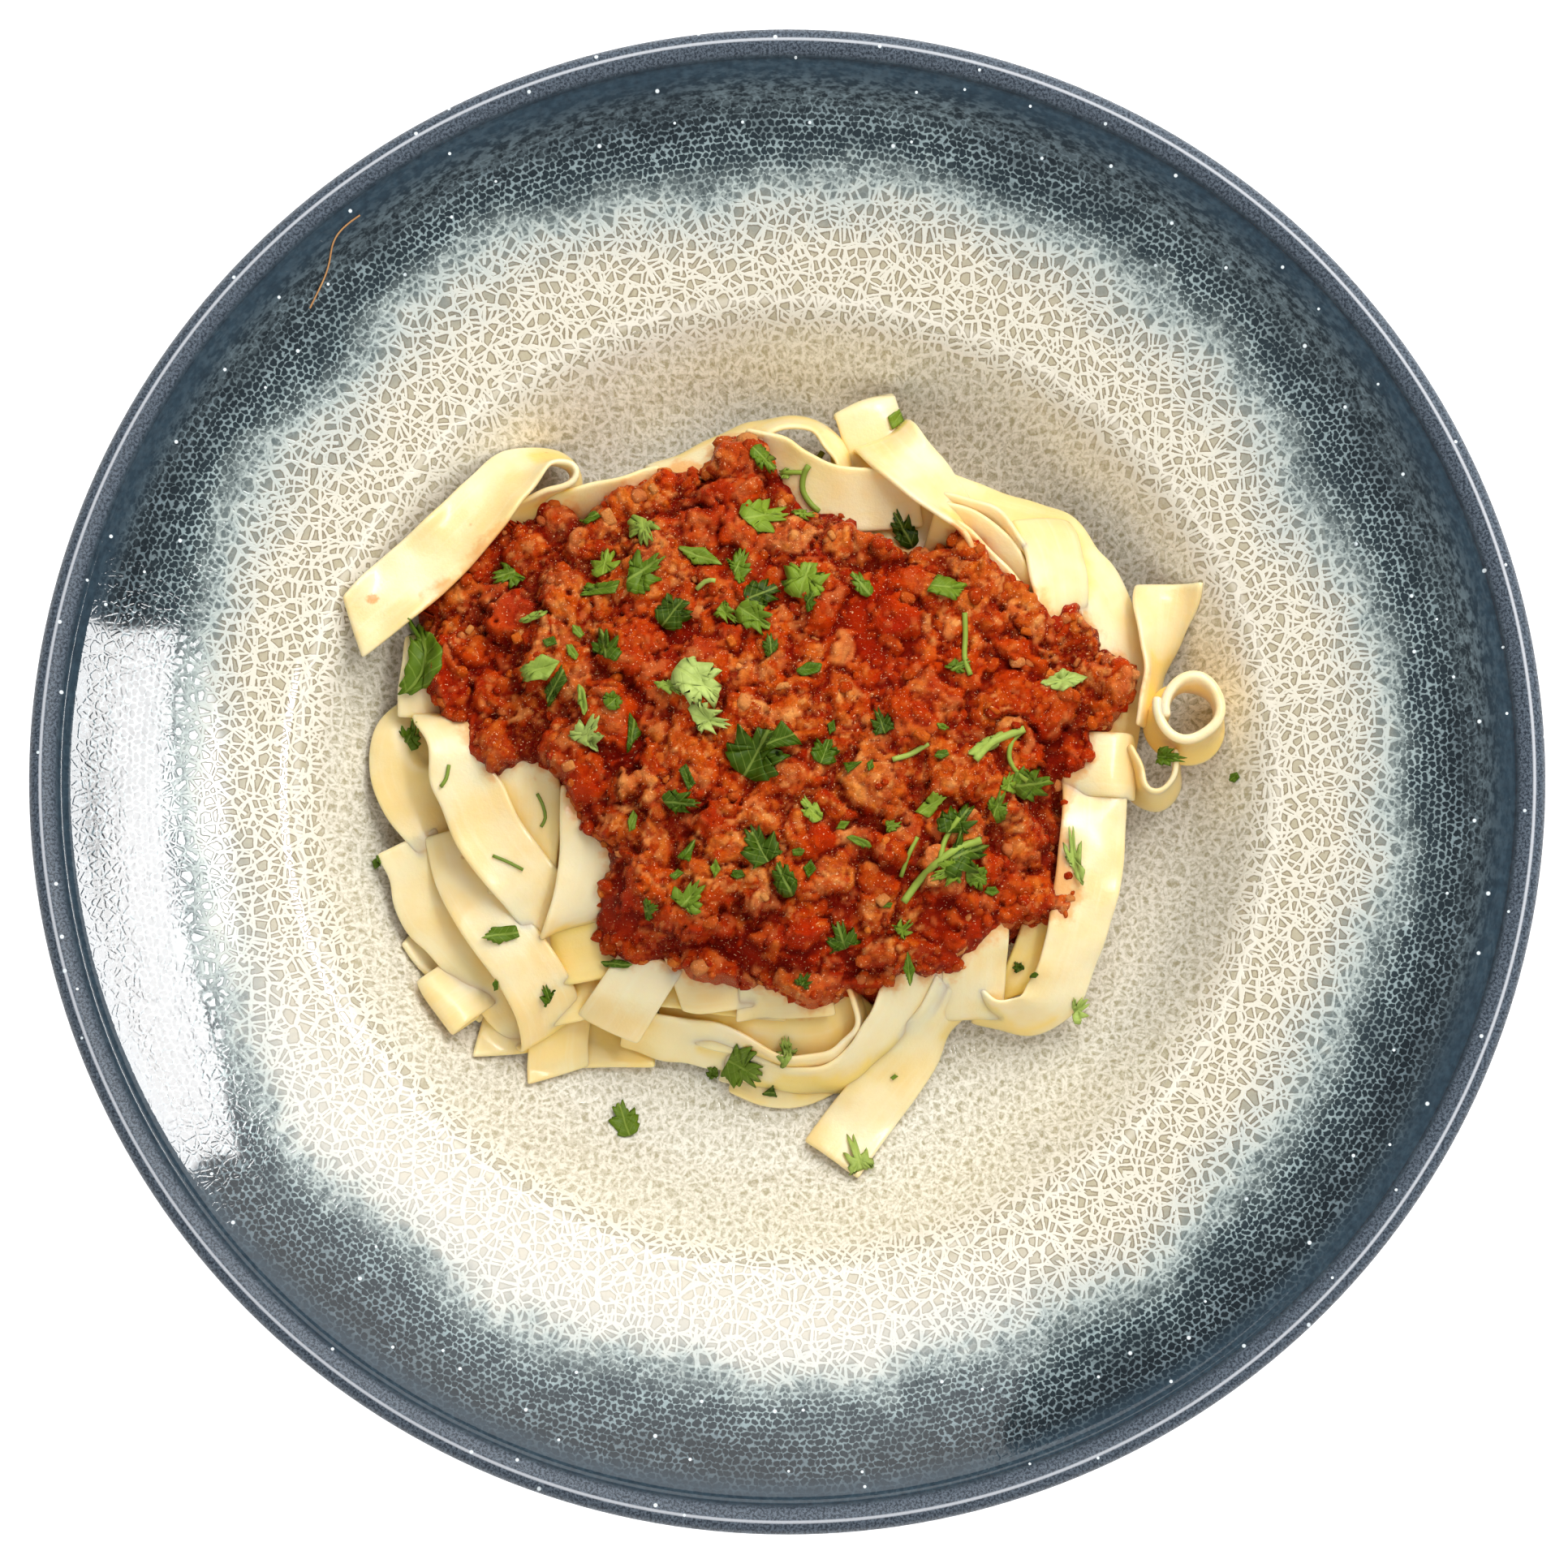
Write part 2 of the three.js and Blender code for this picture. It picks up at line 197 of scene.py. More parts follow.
class Finish:
    """A material with short ways to add and join its nodes."""

    def __init__(self, name):
        self.material = bpy.data.materials.new(name)
        self.material.use_nodes = True
        self.tree = self.material.node_tree
        self.shader = self.tree.nodes["Principled BSDF"]

    def node(self, kind, inputs=(), **settings):
        made = self.tree.nodes.new(kind)
        for key, value in settings.items():
            setattr(made, key, value)
        for key, value in dict(inputs).items():
            if isinstance(value, bpy.types.NodeSocket):
                self.tree.links.new(value, made.inputs[key])
            else:
                made.inputs[key].default_value = value
        return made

    def work(self, operation, first, second=0.0, third=0.0):
        return self.node("ShaderNodeMath", {0: first, 1: second, 2: third}, operation=operation).outputs[0]

    def times(self, first, second):
        return self.work("MULTIPLY", first, second)

    def plus(self, first, second):
        return self.work("ADD", first, second)

    def minus(self, first, second):
        return self.work("SUBTRACT", first, second)

    def over(self, first, second):
        return self.work("DIVIDE", first, second)

    def vector(self, operation, first, second=(0.0, 0.0, 0.0)):
        return self.node("ShaderNodeVectorMath", {0: first, 1: second}, operation=operation)

    def between(self, value, low, high, out_low=0.0, out_high=1.0):
        ends = {"Value": value, "From Min": low, "From Max": high, "To Min": out_low, "To Max": out_high}
        return self.node("ShaderNodeMapRange", ends, interpolation_type="SMOOTHSTEP").outputs["Result"]

    def patch(self, place, middle, half_size, turn=0.0):
        """The place as seen from the middle of a small patch, which is 1 wide each way from there."""
        inputs = {"Vector": place, "Location": middle, "Rotation": (0.0, 0.0, math.radians(turn)),
                  "Scale": half_size}
        return self.node("ShaderNodeMapping", inputs, vector_type="TEXTURE").outputs[0]

    def mix(self, share, first, second):
        return self.node("ShaderNodeMix", {0: share, 6: first, 7: second}, data_type="RGBA").outputs[2]

    def noise_node(self, place, scale, detail, roughness, flat):
        inputs = {"Vector": place, "Scale": scale, "Detail": detail, "Roughness": roughness}
        return self.node("ShaderNodeTexNoise", inputs, noise_dimensions="2D" if flat else "3D")

    def noise(self, place, scale, detail=2.0, roughness=0.5, flat=False):
        return self.noise_node(place, scale, detail, roughness, flat).outputs["Fac"]

    def cells(self, place, scale, feature="F1", dimensions="2D"):
        inputs = {"Vector": place, "Scale": scale}
        return self.node("ShaderNodeTexVoronoi", inputs, feature=feature, voronoi_dimensions=dimensions)

    def edges(self, place, scale):
        return self.cells(place, scale, "DISTANCE_TO_EDGE").outputs["Distance"]

    def drawn(self, cells, channel=0):
        """A random number, from 0 to 1, that is the same all over each cell."""
        return self.node("ShaderNodeSeparateColor", {0: cells.outputs["Color"]}).outputs[channel]

    def ramp(self, value, stops):
        made = self.node("ShaderNodeValToRGB", {"Fac": value})
        points = made.color_ramp.elements
        while len(points) < len(stops):
            points.new(0.5)
        for point, (place, colour) in zip(points, stops):
            point.position = place
            point.color = colour
        return made.outputs["Color"]

    def set(self, **sockets):
        for name, value in sockets.items():
            socket = self.shader.inputs[name.replace("_", " ")]
            if isinstance(value, bpy.types.NodeSocket):
                self.tree.links.new(value, socket)
            else:
                socket.default_value = value

    def bump(self, height, depth, strength=1.0):
        made = self.node("ShaderNodeBump", {"Height": height, "Distance": depth, "Strength": strength})
        self.tree.links.new(made.outputs["Normal"], self.shader.inputs["Normal"])


glaze = Finish("reactive_glaze")
place = glaze.node("ShaderNodeTexCoord").outputs["Object"]
place_mm = glaze.node("ShaderNodeVectorMath", {0: place, 3: 1000.0}, operation="SCALE").outputs[0]
axes = glaze.node("ShaderNodeSeparateXYZ", {0: place_mm})
radius = glaze.work("SQRT", glaze.plus(glaze.times(axes.outputs[0], axes.outputs[0]),
                                       glaze.times(axes.outputs[1], axes.outputs[1])))
bearing = glaze.work("ARCTAN2", axes.outputs[1], axes.outputs[0])
drift = glaze.noise(place_mm, 0.028, 2.0, 0.55, flat=True)
ragged = glaze.noise(place_mm, 0.30, 2.0, 0.6, flat=True)
flow = glaze.plus(glaze.times(glaze.minus(drift, 0.5), 13.0), glaze.times(glaze.minus(ragged, 0.5), 6.0))
flow_radius = glaze.plus(radius, flow)
RAMP_RADIUS = 150.0
ring = glaze.over(flow_radius, RAMP_RADIUS)
# Radius in mm, colour of the glaze between the strokes, colour of the strokes.
GLAZE_RINGS = [
    (0, (170, 162, 132), (236, 231, 214)), (80, (170, 162, 132), (234, 229, 213)),
    (90, (178, 167, 138), (224, 218, 200)), (97, (176, 166, 140), (223, 218, 202)),
    (103, (138, 138, 126), (204, 206, 197)), (108, (92, 103, 103), (184, 194, 190)),
    (114, (38, 50, 56), (144, 161, 163)), (122, (18, 28, 34), (104, 119, 125)),
    (132, (25, 34, 40), (58, 70, 78)),
]
ground = glaze.ramp(ring, [(at / RAMP_RADIUS, srgb(*gap)) for at, gap, stroke in GLAZE_RINGS])
network = glaze.ramp(ring, [(at / RAMP_RADIUS, srgb(*stroke)) for at, gap, stroke in GLAZE_RINGS])

# Cream network: two nets of straight strokes laid one over the other with shorter strokes across them,
# which leaves small three- and four-sided gaps. In the well they are finer and sunk in a cloudy grain.
stroke_scale = glaze.between(radius, 86.0, 86.4, 0.52, 0.34)
stroke_half = glaze.between(glaze.noise(place_mm, 0.35, 1.0, flat=True), 0.35, 0.65, 0.23, 0.30)


def net_reach(place, per_mm, thinness):
    """Distance from the nearest stroke of a net, made longer so that the strokes come out thin."""
    return glaze.over(glaze.edges(place, per_mm), per_mm * thinness)


second_place = glaze.vector("ADD", place_mm, (63.7, 28.1, 0.0)).outputs[0]
stroke_reach = glaze.work("MINIMUM", net_reach(place_mm, 0.42, 0.78), net_reach(second_place, 0.31, 0.74))
cell = glaze.cells(place_mm, stroke_scale)
from_middle = glaze.vector("SUBTRACT", place_mm, cell.outputs["Position"]).outputs[0]
off = glaze.node("ShaderNodeSeparateXYZ", {0: from_middle})
way = glaze.times(glaze.drawn(cell), math.pi)
beside = glaze.minus(glaze.times(off.outputs[0], glaze.work("SINE", way)),
                     glaze.times(off.outputs[1], glaze.work("COSINE", way)))
stroke_reach = glaze.work("MINIMUM", stroke_reach, glaze.work("ABSOLUTE", beside))
stroke_reach = glaze.over(stroke_reach, stroke_half)
rim_cloud = glaze.noise(place_mm, 1.5, 2.0, 0.7, flat=True)
stroke_reach = glaze.work("MULTIPLY_ADD", glaze.minus(rim_cloud, 0.5), 1.1, stroke_reach)
rim_net = glaze.between(stroke_reach, 1.6, 0.6)
well_cloud = glaze.between(glaze.noise(place_mm, 0.95, 3.0, 0.78, flat=True), 0.33, 0.64)
well_mix = glaze.plus(glaze.times(rim_net, 0.46), glaze.times(well_cloud, 0.60))

# How far a place lies towards the front left, in mm; the rim's cream is painted paler there, as painted
# glare.
forward = glaze.vector("DOT_PRODUCT", place_mm, (-0.40, -0.92, 0.0)).outputs["Value"]

# Dotted band: rows of dark dots round the rim, each row half a dot on from the last.
DOTS_ROUND = 540.0
ROW_PITCH = 1.2
wander = glaze.noise_node(place_mm, 0.42, 3.0, 0.6, flat=True)
wander_axes = glaze.node("ShaderNodeSeparateColor", {0: wander.outputs["Color"]})
row_place = glaze.over(glaze.work("MULTIPLY_ADD", wander_axes.outputs[0], 1.7, radius), ROW_PITCH)
row = glaze.work("FLOOR", row_place)
half_step = glaze.times(glaze.work("MODULO", row, 2.0), 0.5)
turn = glaze.work("MULTIPLY_ADD", bearing, DOTS_ROUND / (2 * math.pi), half_step)
turn = glaze.work("MULTIPLY_ADD", wander_axes.outputs[1], 1.6, turn)
across_dot = glaze.times(glaze.minus(glaze.work("FRACT", turn), 0.5), 1.88)
along_dot = glaze.times(glaze.minus(glaze.work("FRACT", row_place), 0.5), 1.75)
dot_reach = glaze.work("SQRT", glaze.plus(glaze.work("POWER", across_dot, 2.0),
                                          glaze.work("POWER", along_dot, 2.0)))
dot_size = glaze.between(wander_axes.outputs[2], 0.30, 0.70, 0.58, 0.86)
dot_net = glaze.between(dot_reach, dot_size, glaze.plus(dot_size, 0.26))


def along_rim(round_scale, out_scale):
    """A place for noise that is stretched out along the rim."""
    x = glaze.times(glaze.work("COSINE", bearing), round_scale)
    y = glaze.times(glaze.work("SINE", bearing), round_scale)
    return glaze.node("ShaderNodeCombineXYZ", {0: x, 1: y, 2: glaze.times(radius, out_scale)}).outputs[0]


patchy = glaze.between(glaze.noise(along_rim(9.0, 0.22), 1.0, 2.0, 0.6), 0.32, 0.68, 0.55, 1.15)
dot_net = glaze.times(dot_net, patchy)
outer_blur = glaze.between(glaze.noise(along_rim(52.0, 1.1), 1.0, 2.0, 0.75), 0.40, 0.62, 0.05, 0.85)
dots_end = glaze.minus(radius, glaze.between(forward, -70.0, 80.0, 0.0, 7.0))
dot_net = glaze.mix(glaze.between(dots_end, 118.0, 127.0), dot_net, outer_blur)

to_rim = glaze.between(radius, 80.0, 88.0)
to_dots = glaze.between(flow_radius, 104.5, 113.0)
pattern = glaze.mix(to_rim, well_mix, glaze.work("MULTIPLY_ADD", rim_cloud, 0.24, rim_net))
pattern = glaze.mix(to_dots, pattern, dot_net)
# Painted glare: the cream rim at the front left is painted paler, and its painted stroke shadows fainter.
painted_glare = glaze.times(glaze.between(forward, 48.0, 92.0), glaze.between(flow_radius, 110.0, 101.0))
painted_glare = glaze.times(painted_glare, glaze.between(radius, 84.0, 92.0, 0.25, 1.0))
body_colour = glaze.mix(pattern, ground, network)
body_colour = glaze.mix(glaze.times(painted_glare, 0.42), body_colour, srgb(240, 235, 226))
# Painted shadow: a dark brown fringe round each raised cream stroke.
painted_stroke_shadow = glaze.times(glaze.between(stroke_reach, 1.0, 1.35), glaze.between(stroke_reach, 2.6, 1.6))
painted_stroke_shadow = glaze.times(glaze.times(painted_stroke_shadow, to_rim), glaze.between(flow_radius, 108.0, 102.0, 0.0, 0.62))
painted_stroke_shadow = glaze.times(painted_stroke_shadow, glaze.minus(1.0, glaze.times(painted_glare, 0.7)))
body_colour = glaze.mix(painted_stroke_shadow, body_colour, srgb(108, 90, 66))

# Rolled edge and its groove: mottled slate with a near-black line inside it.
mottle = glaze.between(glaze.noise(place_mm, 2.1, 3.0, 0.75, flat=True), 0.36, 0.64)
edge_colour = glaze.mix(mottle, srgb(34, 43, 54), srgb(92, 103, 115))
# A thin pale line on the crest: partly the glaze running thin there, partly a painted highlight.
crest_thin_glaze_and_highlight = glaze.times(glaze.between(radius, 132.4, 132.7), glaze.between(radius, 133.2, 132.9))
edge_colour = glaze.mix(glaze.times(crest_thin_glaze_and_highlight, 0.8), edge_colour, srgb(196, 199, 205))
dark_groove = glaze.mix(glaze.noise(place_mm, 0.8, 2.0, flat=True), srgb(24, 38, 50), srgb(50, 72, 86))
groove_share = glaze.times(glaze.between(radius, 123.5, 128.2), glaze.between(radius, 130.6, 129.6))
body_colour = glaze.mix(glaze.times(groove_share, 0.75), body_colour, dark_groove)
body_colour = glaze.mix(glaze.between(radius, 129.6, 130.6), body_colour, edge_colour)

# Pin-prick white specks in the slate glaze.
speck_cell = glaze.cells(place_mm, 0.095)
speck_draw = glaze.drawn(speck_cell)
speck_size = glaze.work("MULTIPLY_ADD", speck_draw, 0.026, 0.024)
speck = glaze.times(glaze.between(speck_cell.outputs["Distance"], speck_size, 0.020),
                    glaze.work("LESS_THAN", speck_draw, 0.85))
speck = glaze.times(speck, glaze.between(flow_radius, 110.0, 113.0))
# A painted highlight: a pale line where the rim turns down into the well.
painted_shoulder_highlight = glaze.times(glaze.between(radius, 86.9, 87.7), glaze.between(radius, 89.0, 88.2))
body_colour = glaze.mix(glaze.times(painted_shoulder_highlight, 0.32), body_colour, srgb(246, 240, 226))
body_colour = glaze.mix(speck, body_colour, srgb(226, 236, 240))

# A thin smear of sauce, dragged over the well beside the ribbon that trails out at the front.
smear_place = glaze.patch(place_mm, middle=(29.4, -44.6, 0.0), half_size=(4.2, 0.75, 1.0), turn=61)
smear_reach = glaze.vector("LENGTH", smear_place).outputs["Value"]
smear_reach = glaze.plus(smear_reach, glaze.noise(place_mm, 1.6, 3.0, 0.7, flat=True))
smear = glaze.times(glaze.between(smear_reach, 1.75, 1.1), glaze.between(radius, 70.0, 66.0, 0.0, 0.75))
body_colour = glaze.mix(smear, body_colour, srgb(150, 84, 40))
glaze.set(Base_Color=body_colour, Roughness=glaze.between(radius, 128.8, 130.2, 0.035, 0.38), IOR=1.46)
# Only the net stands up in the glaze, so that the bump stays quick to work out.
net_relief = glaze.times(glaze.between(radius, 80.0, 88.0, 0.5, 1.0),
                         glaze.between(radius, 103.0, 113.0, 0.8, 0.03))
glaze.bump(glaze.plus(glaze.times(rim_net, net_relief), glaze.times(drift, 0.1)), 0.00016, 0.5)

back_glaze = Finish("back_glaze")
back_place = back_glaze.node("ShaderNodeTexCoord").outputs["Object"]
back_mottle = back_glaze.between(back_glaze.noise(back_place, 1500.0, 4.0, 0.7), 0.35, 0.65)
back_colour = back_glaze.mix(back_mottle, srgb(48, 66, 86), srgb(86, 106, 128))
back_height = back_glaze.node("ShaderNodeSeparateXYZ", {0: back_place}).outputs[2]
bare_clay = back_glaze.between(back_height, 0.0012, 0.0004)
back_colour = back_glaze.mix(bare_clay, back_colour, srgb(196, 180, 156))
back_glaze.set(Base_Color=back_colour, Roughness=0.26, IOR=1.52, Coat_Weight=0.5, Coat_Roughness=0.1)
back_glaze.bump(back_glaze.noise(back_place, 900.0, 3.0), 0.0002, 0.35)

profile = curve_through([(r, z, 0.0) for r, z in EATING_SURFACE], PROFILE_STEP)[:, :2].tolist()
profile += curve_through([(r, z, 0.0) for r, z in ROLLED_EDGE], 0.45)[:, :2].tolist()
profile += curve_through([(r, z, 0.0) for r, z in UNDERSIDE[:8]], 2.0)[:, :2].tolist()
profile += [list(point) for point in UNDERSIDE[8:]]
plate_shape = bmesh.new()
wire = [plate_shape.verts.new((r * MM, 0.0, z * MM)) for r, z in profile]
for first, second in zip(wire, wire[1:]):
    plate_shape.edges.new((first, second))
bmesh.ops.spin(plate_shape, geom=plate_shape.verts[:] + plate_shape.edges[:], cent=(0, 0, 0), axis=(0, 0, 1),
               angle=2 * math.pi, steps=PLATE_STEPS, use_merge=True)
bmesh.ops.remove_doubles(plate_shape, verts=plate_shape.verts[:], dist=0.00002)
bmesh.ops.recalc_face_normals(plate_shape, faces=plate_shape.faces[:])
GLAZE_MEETS = [(0, 5), (50, 5), (66, 6.5), (80, 18), (89, 25.5), (110, 32), (130, 38.3), (136, 39.3)]
for face in plate_shape.faces:
    middle = face.calc_center_median()
    out = math.hypot(middle.x, middle.y) / MM
    below = middle.z / MM < np.interp(out, [r for r, z in GLAZE_MEETS], [z for r, z in GLAZE_MEETS])
    face.material_index = 1 if below else 0
plate = make_piece("plate_body", plate_shape, glaze.material, back_glaze.material)
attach(plate, "root")
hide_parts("plate")

# Fettuccine: flat egg-pasta ribbons, rolled, cut 12 mm wide, boiled and turned out in one loose
# heap. Each ribbon is one strip, given by stations along its middle: x, y, z and the bearing and
# slope of its width, in mm and degrees. They hold by lying over each other.
RIBBON_WIDTH = 12.0
RIBBON_THICK = 2.0
RIBBON_STEP = 1.2
ACROSS = (-1.0, -0.83, -0.56, -0.2, 0.2, 0.56, 0.83, 1.0)
SAUCE_OUTLINE = np.array([
    (-65, 35), (-60, 39), (-55, 45), (-51, 48), (-46, 50), (-44, 54), (-39, 53), (-37, 50), (-35, 52),
    (-32, 55), (-25, 57), (-20, 60), (-14, 60), (-12, 65), (-6, 65), (-3, 60), (0, 56), (3, 51), (9, 51),
    (12, 48), (17, 45), (25, 44), (29, 45), (31, 48), (35, 45), (38, 40), (42, 37), (46, 35), (48, 31),
    (52, 33.5), (56, 30), (57, 26), (60, 25), (64, 21), (61, 16), (59, 12), (55, 11), (55, 5), (51, 1),
    (50, -5), (49, -12), (53, -19), (51, -23), (45, -23), (38, -26), (34, -28), (30, -33), (25, -34),
    (22, -32), (18, -36), (12, -36), (3, -39), (-1, -36), (-8, -35), (-15, -34), (-22, -31), (-28, -31),
    (-33, -28), (-34, -23), (-34, -18), (-32, -15), (-33, -10), (-37, -7), (-39, -3), (-41, 1), (-43, 4),
    (-48, 6), (-53, 3), (-57, 7), (-59, 12), (-63, 14), (-64, 18), (-66, 24), (-66, 28),
], float) * PLAN_SHARE + (0.0, PLAN_SHIFT)


def inside_sauce(x, y):
    """Distance, in mm, inside the sauce's outline; negative outside it."""
    x, y = np.asarray(x, float), np.asarray(y, float)
    nearest = np.full(x.shape, 1e9)
    inside = np.zeros(x.shape, bool)
    for (x0, y0), (x1, y1) in zip(SAUCE_OUTLINE, np.roll(SAUCE_OUTLINE, -1, axis=0)):
        run = (x1 - x0) ** 2 + (y1 - y0) ** 2
        along = np.clip(((x - x0) * (x1 - x0) + (y - y0) * (y1 - y0)) / run, 0, 1)
        nearest = np.minimum(nearest, np.hypot(x - x0 - along * (x1 - x0), y - y0 - along * (y1 - y0)))
        if y0 != y1:
            crosses = ((y0 > y) != (y1 > y)) & (x < (x1 - x0) * (y - y0) / (y1 - y0) + x0)
            inside ^= crosses
    return np.where(inside, nearest, -nearest)


# Where the heap bulges out: bearing, how far, and over how many degrees.
HEAP_LOBES = (
    (15, 8, 24), (52, 14, 24), (95, 14, 26), (142, 15, 26), (188, 14, 26), (215, 8, 24), (330, 6, 20),
)


def heap_reach(angle):
    """Reach of the pasta heap from the plate's middle, in mm, at a bearing in radians."""
    reach = 46.0
    for at, out, spread in HEAP_LOBES:
        away = np.degrees(np.arctan2(np.sin(angle - math.radians(at)), np.cos(angle - math.radians(at))))
        reach = reach + out * np.exp(-((away / spread) ** 2))
    return reach


def heap_height(x, y):
    share = np.minimum(1.0, np.hypot(x, y) / heap_reach(np.arctan2(y, x)))
    return 17.5 + 14.5 * (1 - share**3) + 0.8 * np.sin(0.23 * x + 0.11 * y) * np.cos(0.21 * y)


def lay_ribbon(shape, stations, painted_shade, seed):
    """Adds one ribbon to a bmesh: a flat grid, bent along its stations."""
    draw = random.Random(seed)
    stations = np.array(stations, float)
    stations[:, 0], stations[:, 1] = on_plate(stations[:, 0], stations[:, 1])
    turn, lean = np.radians(stations[:, 3]), np.radians(stations[:, 4])
    across = np.stack([np.cos(turn) * np.cos(lean), np.sin(turn) * np.cos(lean), np.sin(lean)], axis=1)
    line = curve_through(np.concatenate([stations[:, :3], across], axis=1), RIBBON_STEP)
    middle, across = line[:, :3], line[:, 3:]
    across /= np.linalg.norm(across, axis=1)[:, None]
    along = np.gradient(middle, axis=0)
    along /= np.linalg.norm(along, axis=1)[:, None]
    facing = np.cross(along, across)
    facing /= np.linalg.norm(facing, axis=1)[:, None]
    rows, columns = len(middle) - 1, len(ACROSS) - 1
    made = bmesh.ops.create_grid(shape, x_segments=rows, y_segments=columns, size=1.0)["verts"]
    painted_shade_layer = shape.verts.layers.float["painted_shade"]
    stain_layer = shape.verts.layers.float["stain"]
    strip_uv = shape.loops.layers.uv["strip"]
    phase = [draw.uniform(0, 2 * math.pi) for _ in range(4)]
    camber = draw.uniform(-1.2, 1.2)
    for vert in made:
        i = int(round((vert.co.x + 1) / 2 * rows))
        j = int(round((vert.co.y + 1) / 2 * columns))
        u = ACROSS[j]
        run = i * RIBBON_STEP
        ripple = 0.55 * math.sin(run * 0.27 + phase[0] + 1.2 * u) * abs(u) ** 2
        ripple += 0.2 * math.sin(run * 0.71 + phase[1]) * u
        edge = u * RIBBON_WIDTH / 2 * (1 + 0.025 * math.sin(run * 0.19 + phase[2]))
        point = middle[i] + across[i] * edge + facing[i] * (ripple + camber * u * u)
        lowest = floor_height(point[0], point[1]) + RIBBON_THICK / 2 + 0.1
        point[2] = max(point[2], lowest)
        vert.co = Vector(point) * MM
        vert[painted_shade_layer] = painted_shade
        vert[stain_layer] = float(inside_sauce(point[0], point[1]))
        for loop in vert.link_loops:
            loop[strip_uv].uv = (run * MM, u * RIBBON_WIDTH / 2 * MM + seed * 0.05)


def pasta_piece(name, ribbons, thick=RIBBON_THICK, clamp=1.0):
    shape = bmesh.new()
    shape.verts.layers.float.new("painted_shade")
    shape.verts.layers.float.new("stain")
    shape.loops.layers.uv.new("strip")
    for number, (stations, painted_shade) in enumerate(ribbons):
        lay_ribbon(shape, stations, painted_shade, seed=number + 17 * len(name))
    piece = make_piece(name, shape, pasta.material)
    wall = piece.modifiers.new("thickness", "SOLIDIFY")
    wall.thickness = thick * MM
    wall.offset = 0.0
    wall.use_even_offset = True
    wall.thickness_clamp = clamp
    soft = piece.modifiers.new("soft_edges", "SUBSURF")
    soft.levels = soft.render_levels = 1
    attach(piece, "root")
    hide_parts("fettuccine")
    return piece


pasta = Finish("egg_pasta")
strip = pasta.node("ShaderNodeUVMap", uv_map="strip").outputs["UV"]
streak_place = pasta.node("ShaderNodeMapping", {"Vector": strip, "Scale": (45.0, 620.0, 1.0)}).outputs[0]
streaks = pasta.noise(streak_place, 1.0, 3.0, 0.6)
pasta_place = pasta.node("ShaderNodeTexCoord").outputs["Object"]
patches = pasta.noise(pasta_place, 75.0, 3.0, 0.55)
grains = pasta.noise(pasta_place, 1700.0, 2.0, 0.6)
pasta_colour = pasta.mix(pasta.between(patches, 0.34, 0.68), srgb(248, 226, 182), srgb(245, 209, 144))
streak_share = pasta.times(pasta.between(streaks, 0.46, 0.76), 0.20)
pasta_colour = pasta.mix(streak_share, pasta_colour, srgb(250, 238, 208))
# Painted shade: a deeper gold where the ribbons lie in shade or close over each other.
painted_shade = pasta.node("ShaderNodeAttribute", attribute_name="painted_shade").outputs["Fac"]
pasta_colour = pasta.mix(painted_shade, pasta_colour, srgb(255, 210, 100))
stain = pasta.node("ShaderNodeAttribute", attribute_name="stain").outputs["Fac"]
stain_noise = pasta.noise(pasta_place, 330.0, 3.0, 0.6)
stain_reach = pasta.work("MULTIPLY_ADD", pasta.minus(stain_noise, 0.5), 7.0, stain)
pasta_colour = pasta.mix(pasta.between(stain_reach, -1.9, 0.6, 0.0, 0.7), pasta_colour, srgb(240, 156, 70))
freckle = pasta.cells(pasta_place, 150.0, dimensions="3D")
freckles = pasta.times(pasta.between(freckle.outputs["Distance"], 0.085, 0.045),
                       pasta.work("LESS_THAN", pasta.drawn(freckle, 1), 0.16))
pasta_colour = pasta.mix(pasta.times(freckles, 0.5), pasta_colour, srgb(206, 150, 84))
# A drip of sauce on the loose end at the upper left.
drip_place = pasta.patch(pasta_place, middle=(-0.0744, 0.0333, 0.0285), half_size=(0.0016, 0.0013, 0.006))
drip_reach = pasta.plus(pasta.vector("LENGTH", drip_place).outputs["Value"], grains)
pasta_colour = pasta.mix(pasta.between(drip_reach, 1.45, 0.85, 0.0, 0.8), pasta_colour, srgb(228, 140, 40))
pasta.set(Base_Color=pasta_colour, Roughness=pasta.between(patches, 0.3, 0.7, 0.28, 0.44), IOR=1.48,
          Subsurface_Weight=0.45, Subsurface_Radius=(1.0, 0.62, 0.28), Subsurface_Scale=0.0035,
          Coat_Weight=0.8, Coat_Roughness=0.2)
pasta.bump(pasta.plus(pasta.times(streaks, 0.3), pasta.times(grains, 0.6)), 0.00016, 0.7)


def standing_ring():
    """The coiled end at the right: a ribbon on its edge, leaning out, in one open turn."""
    coil = []
    for turn in range(200, -201, -25):
        angle = math.radians(turn)
        wider = 1.3 * max(0.0, (-60 - turn) / 140)
        top = Vector((73.8 + (4.3 + wider) * math.cos(angle), 14.6 + (4.5 + wider) * math.sin(angle), 31.5))
        foot = Vector((73.0 + (5.7 + wider) * math.cos(angle), 13.4 + (5.8 + wider) * math.sin(angle), 21.0))
        down = (foot - top).normalized()
        middle = (top + foot) / 2
        coil.append((*middle, math.degrees(math.atan2(down.y, down.x)), math.degrees(math.asin(down.z))))
    return coil
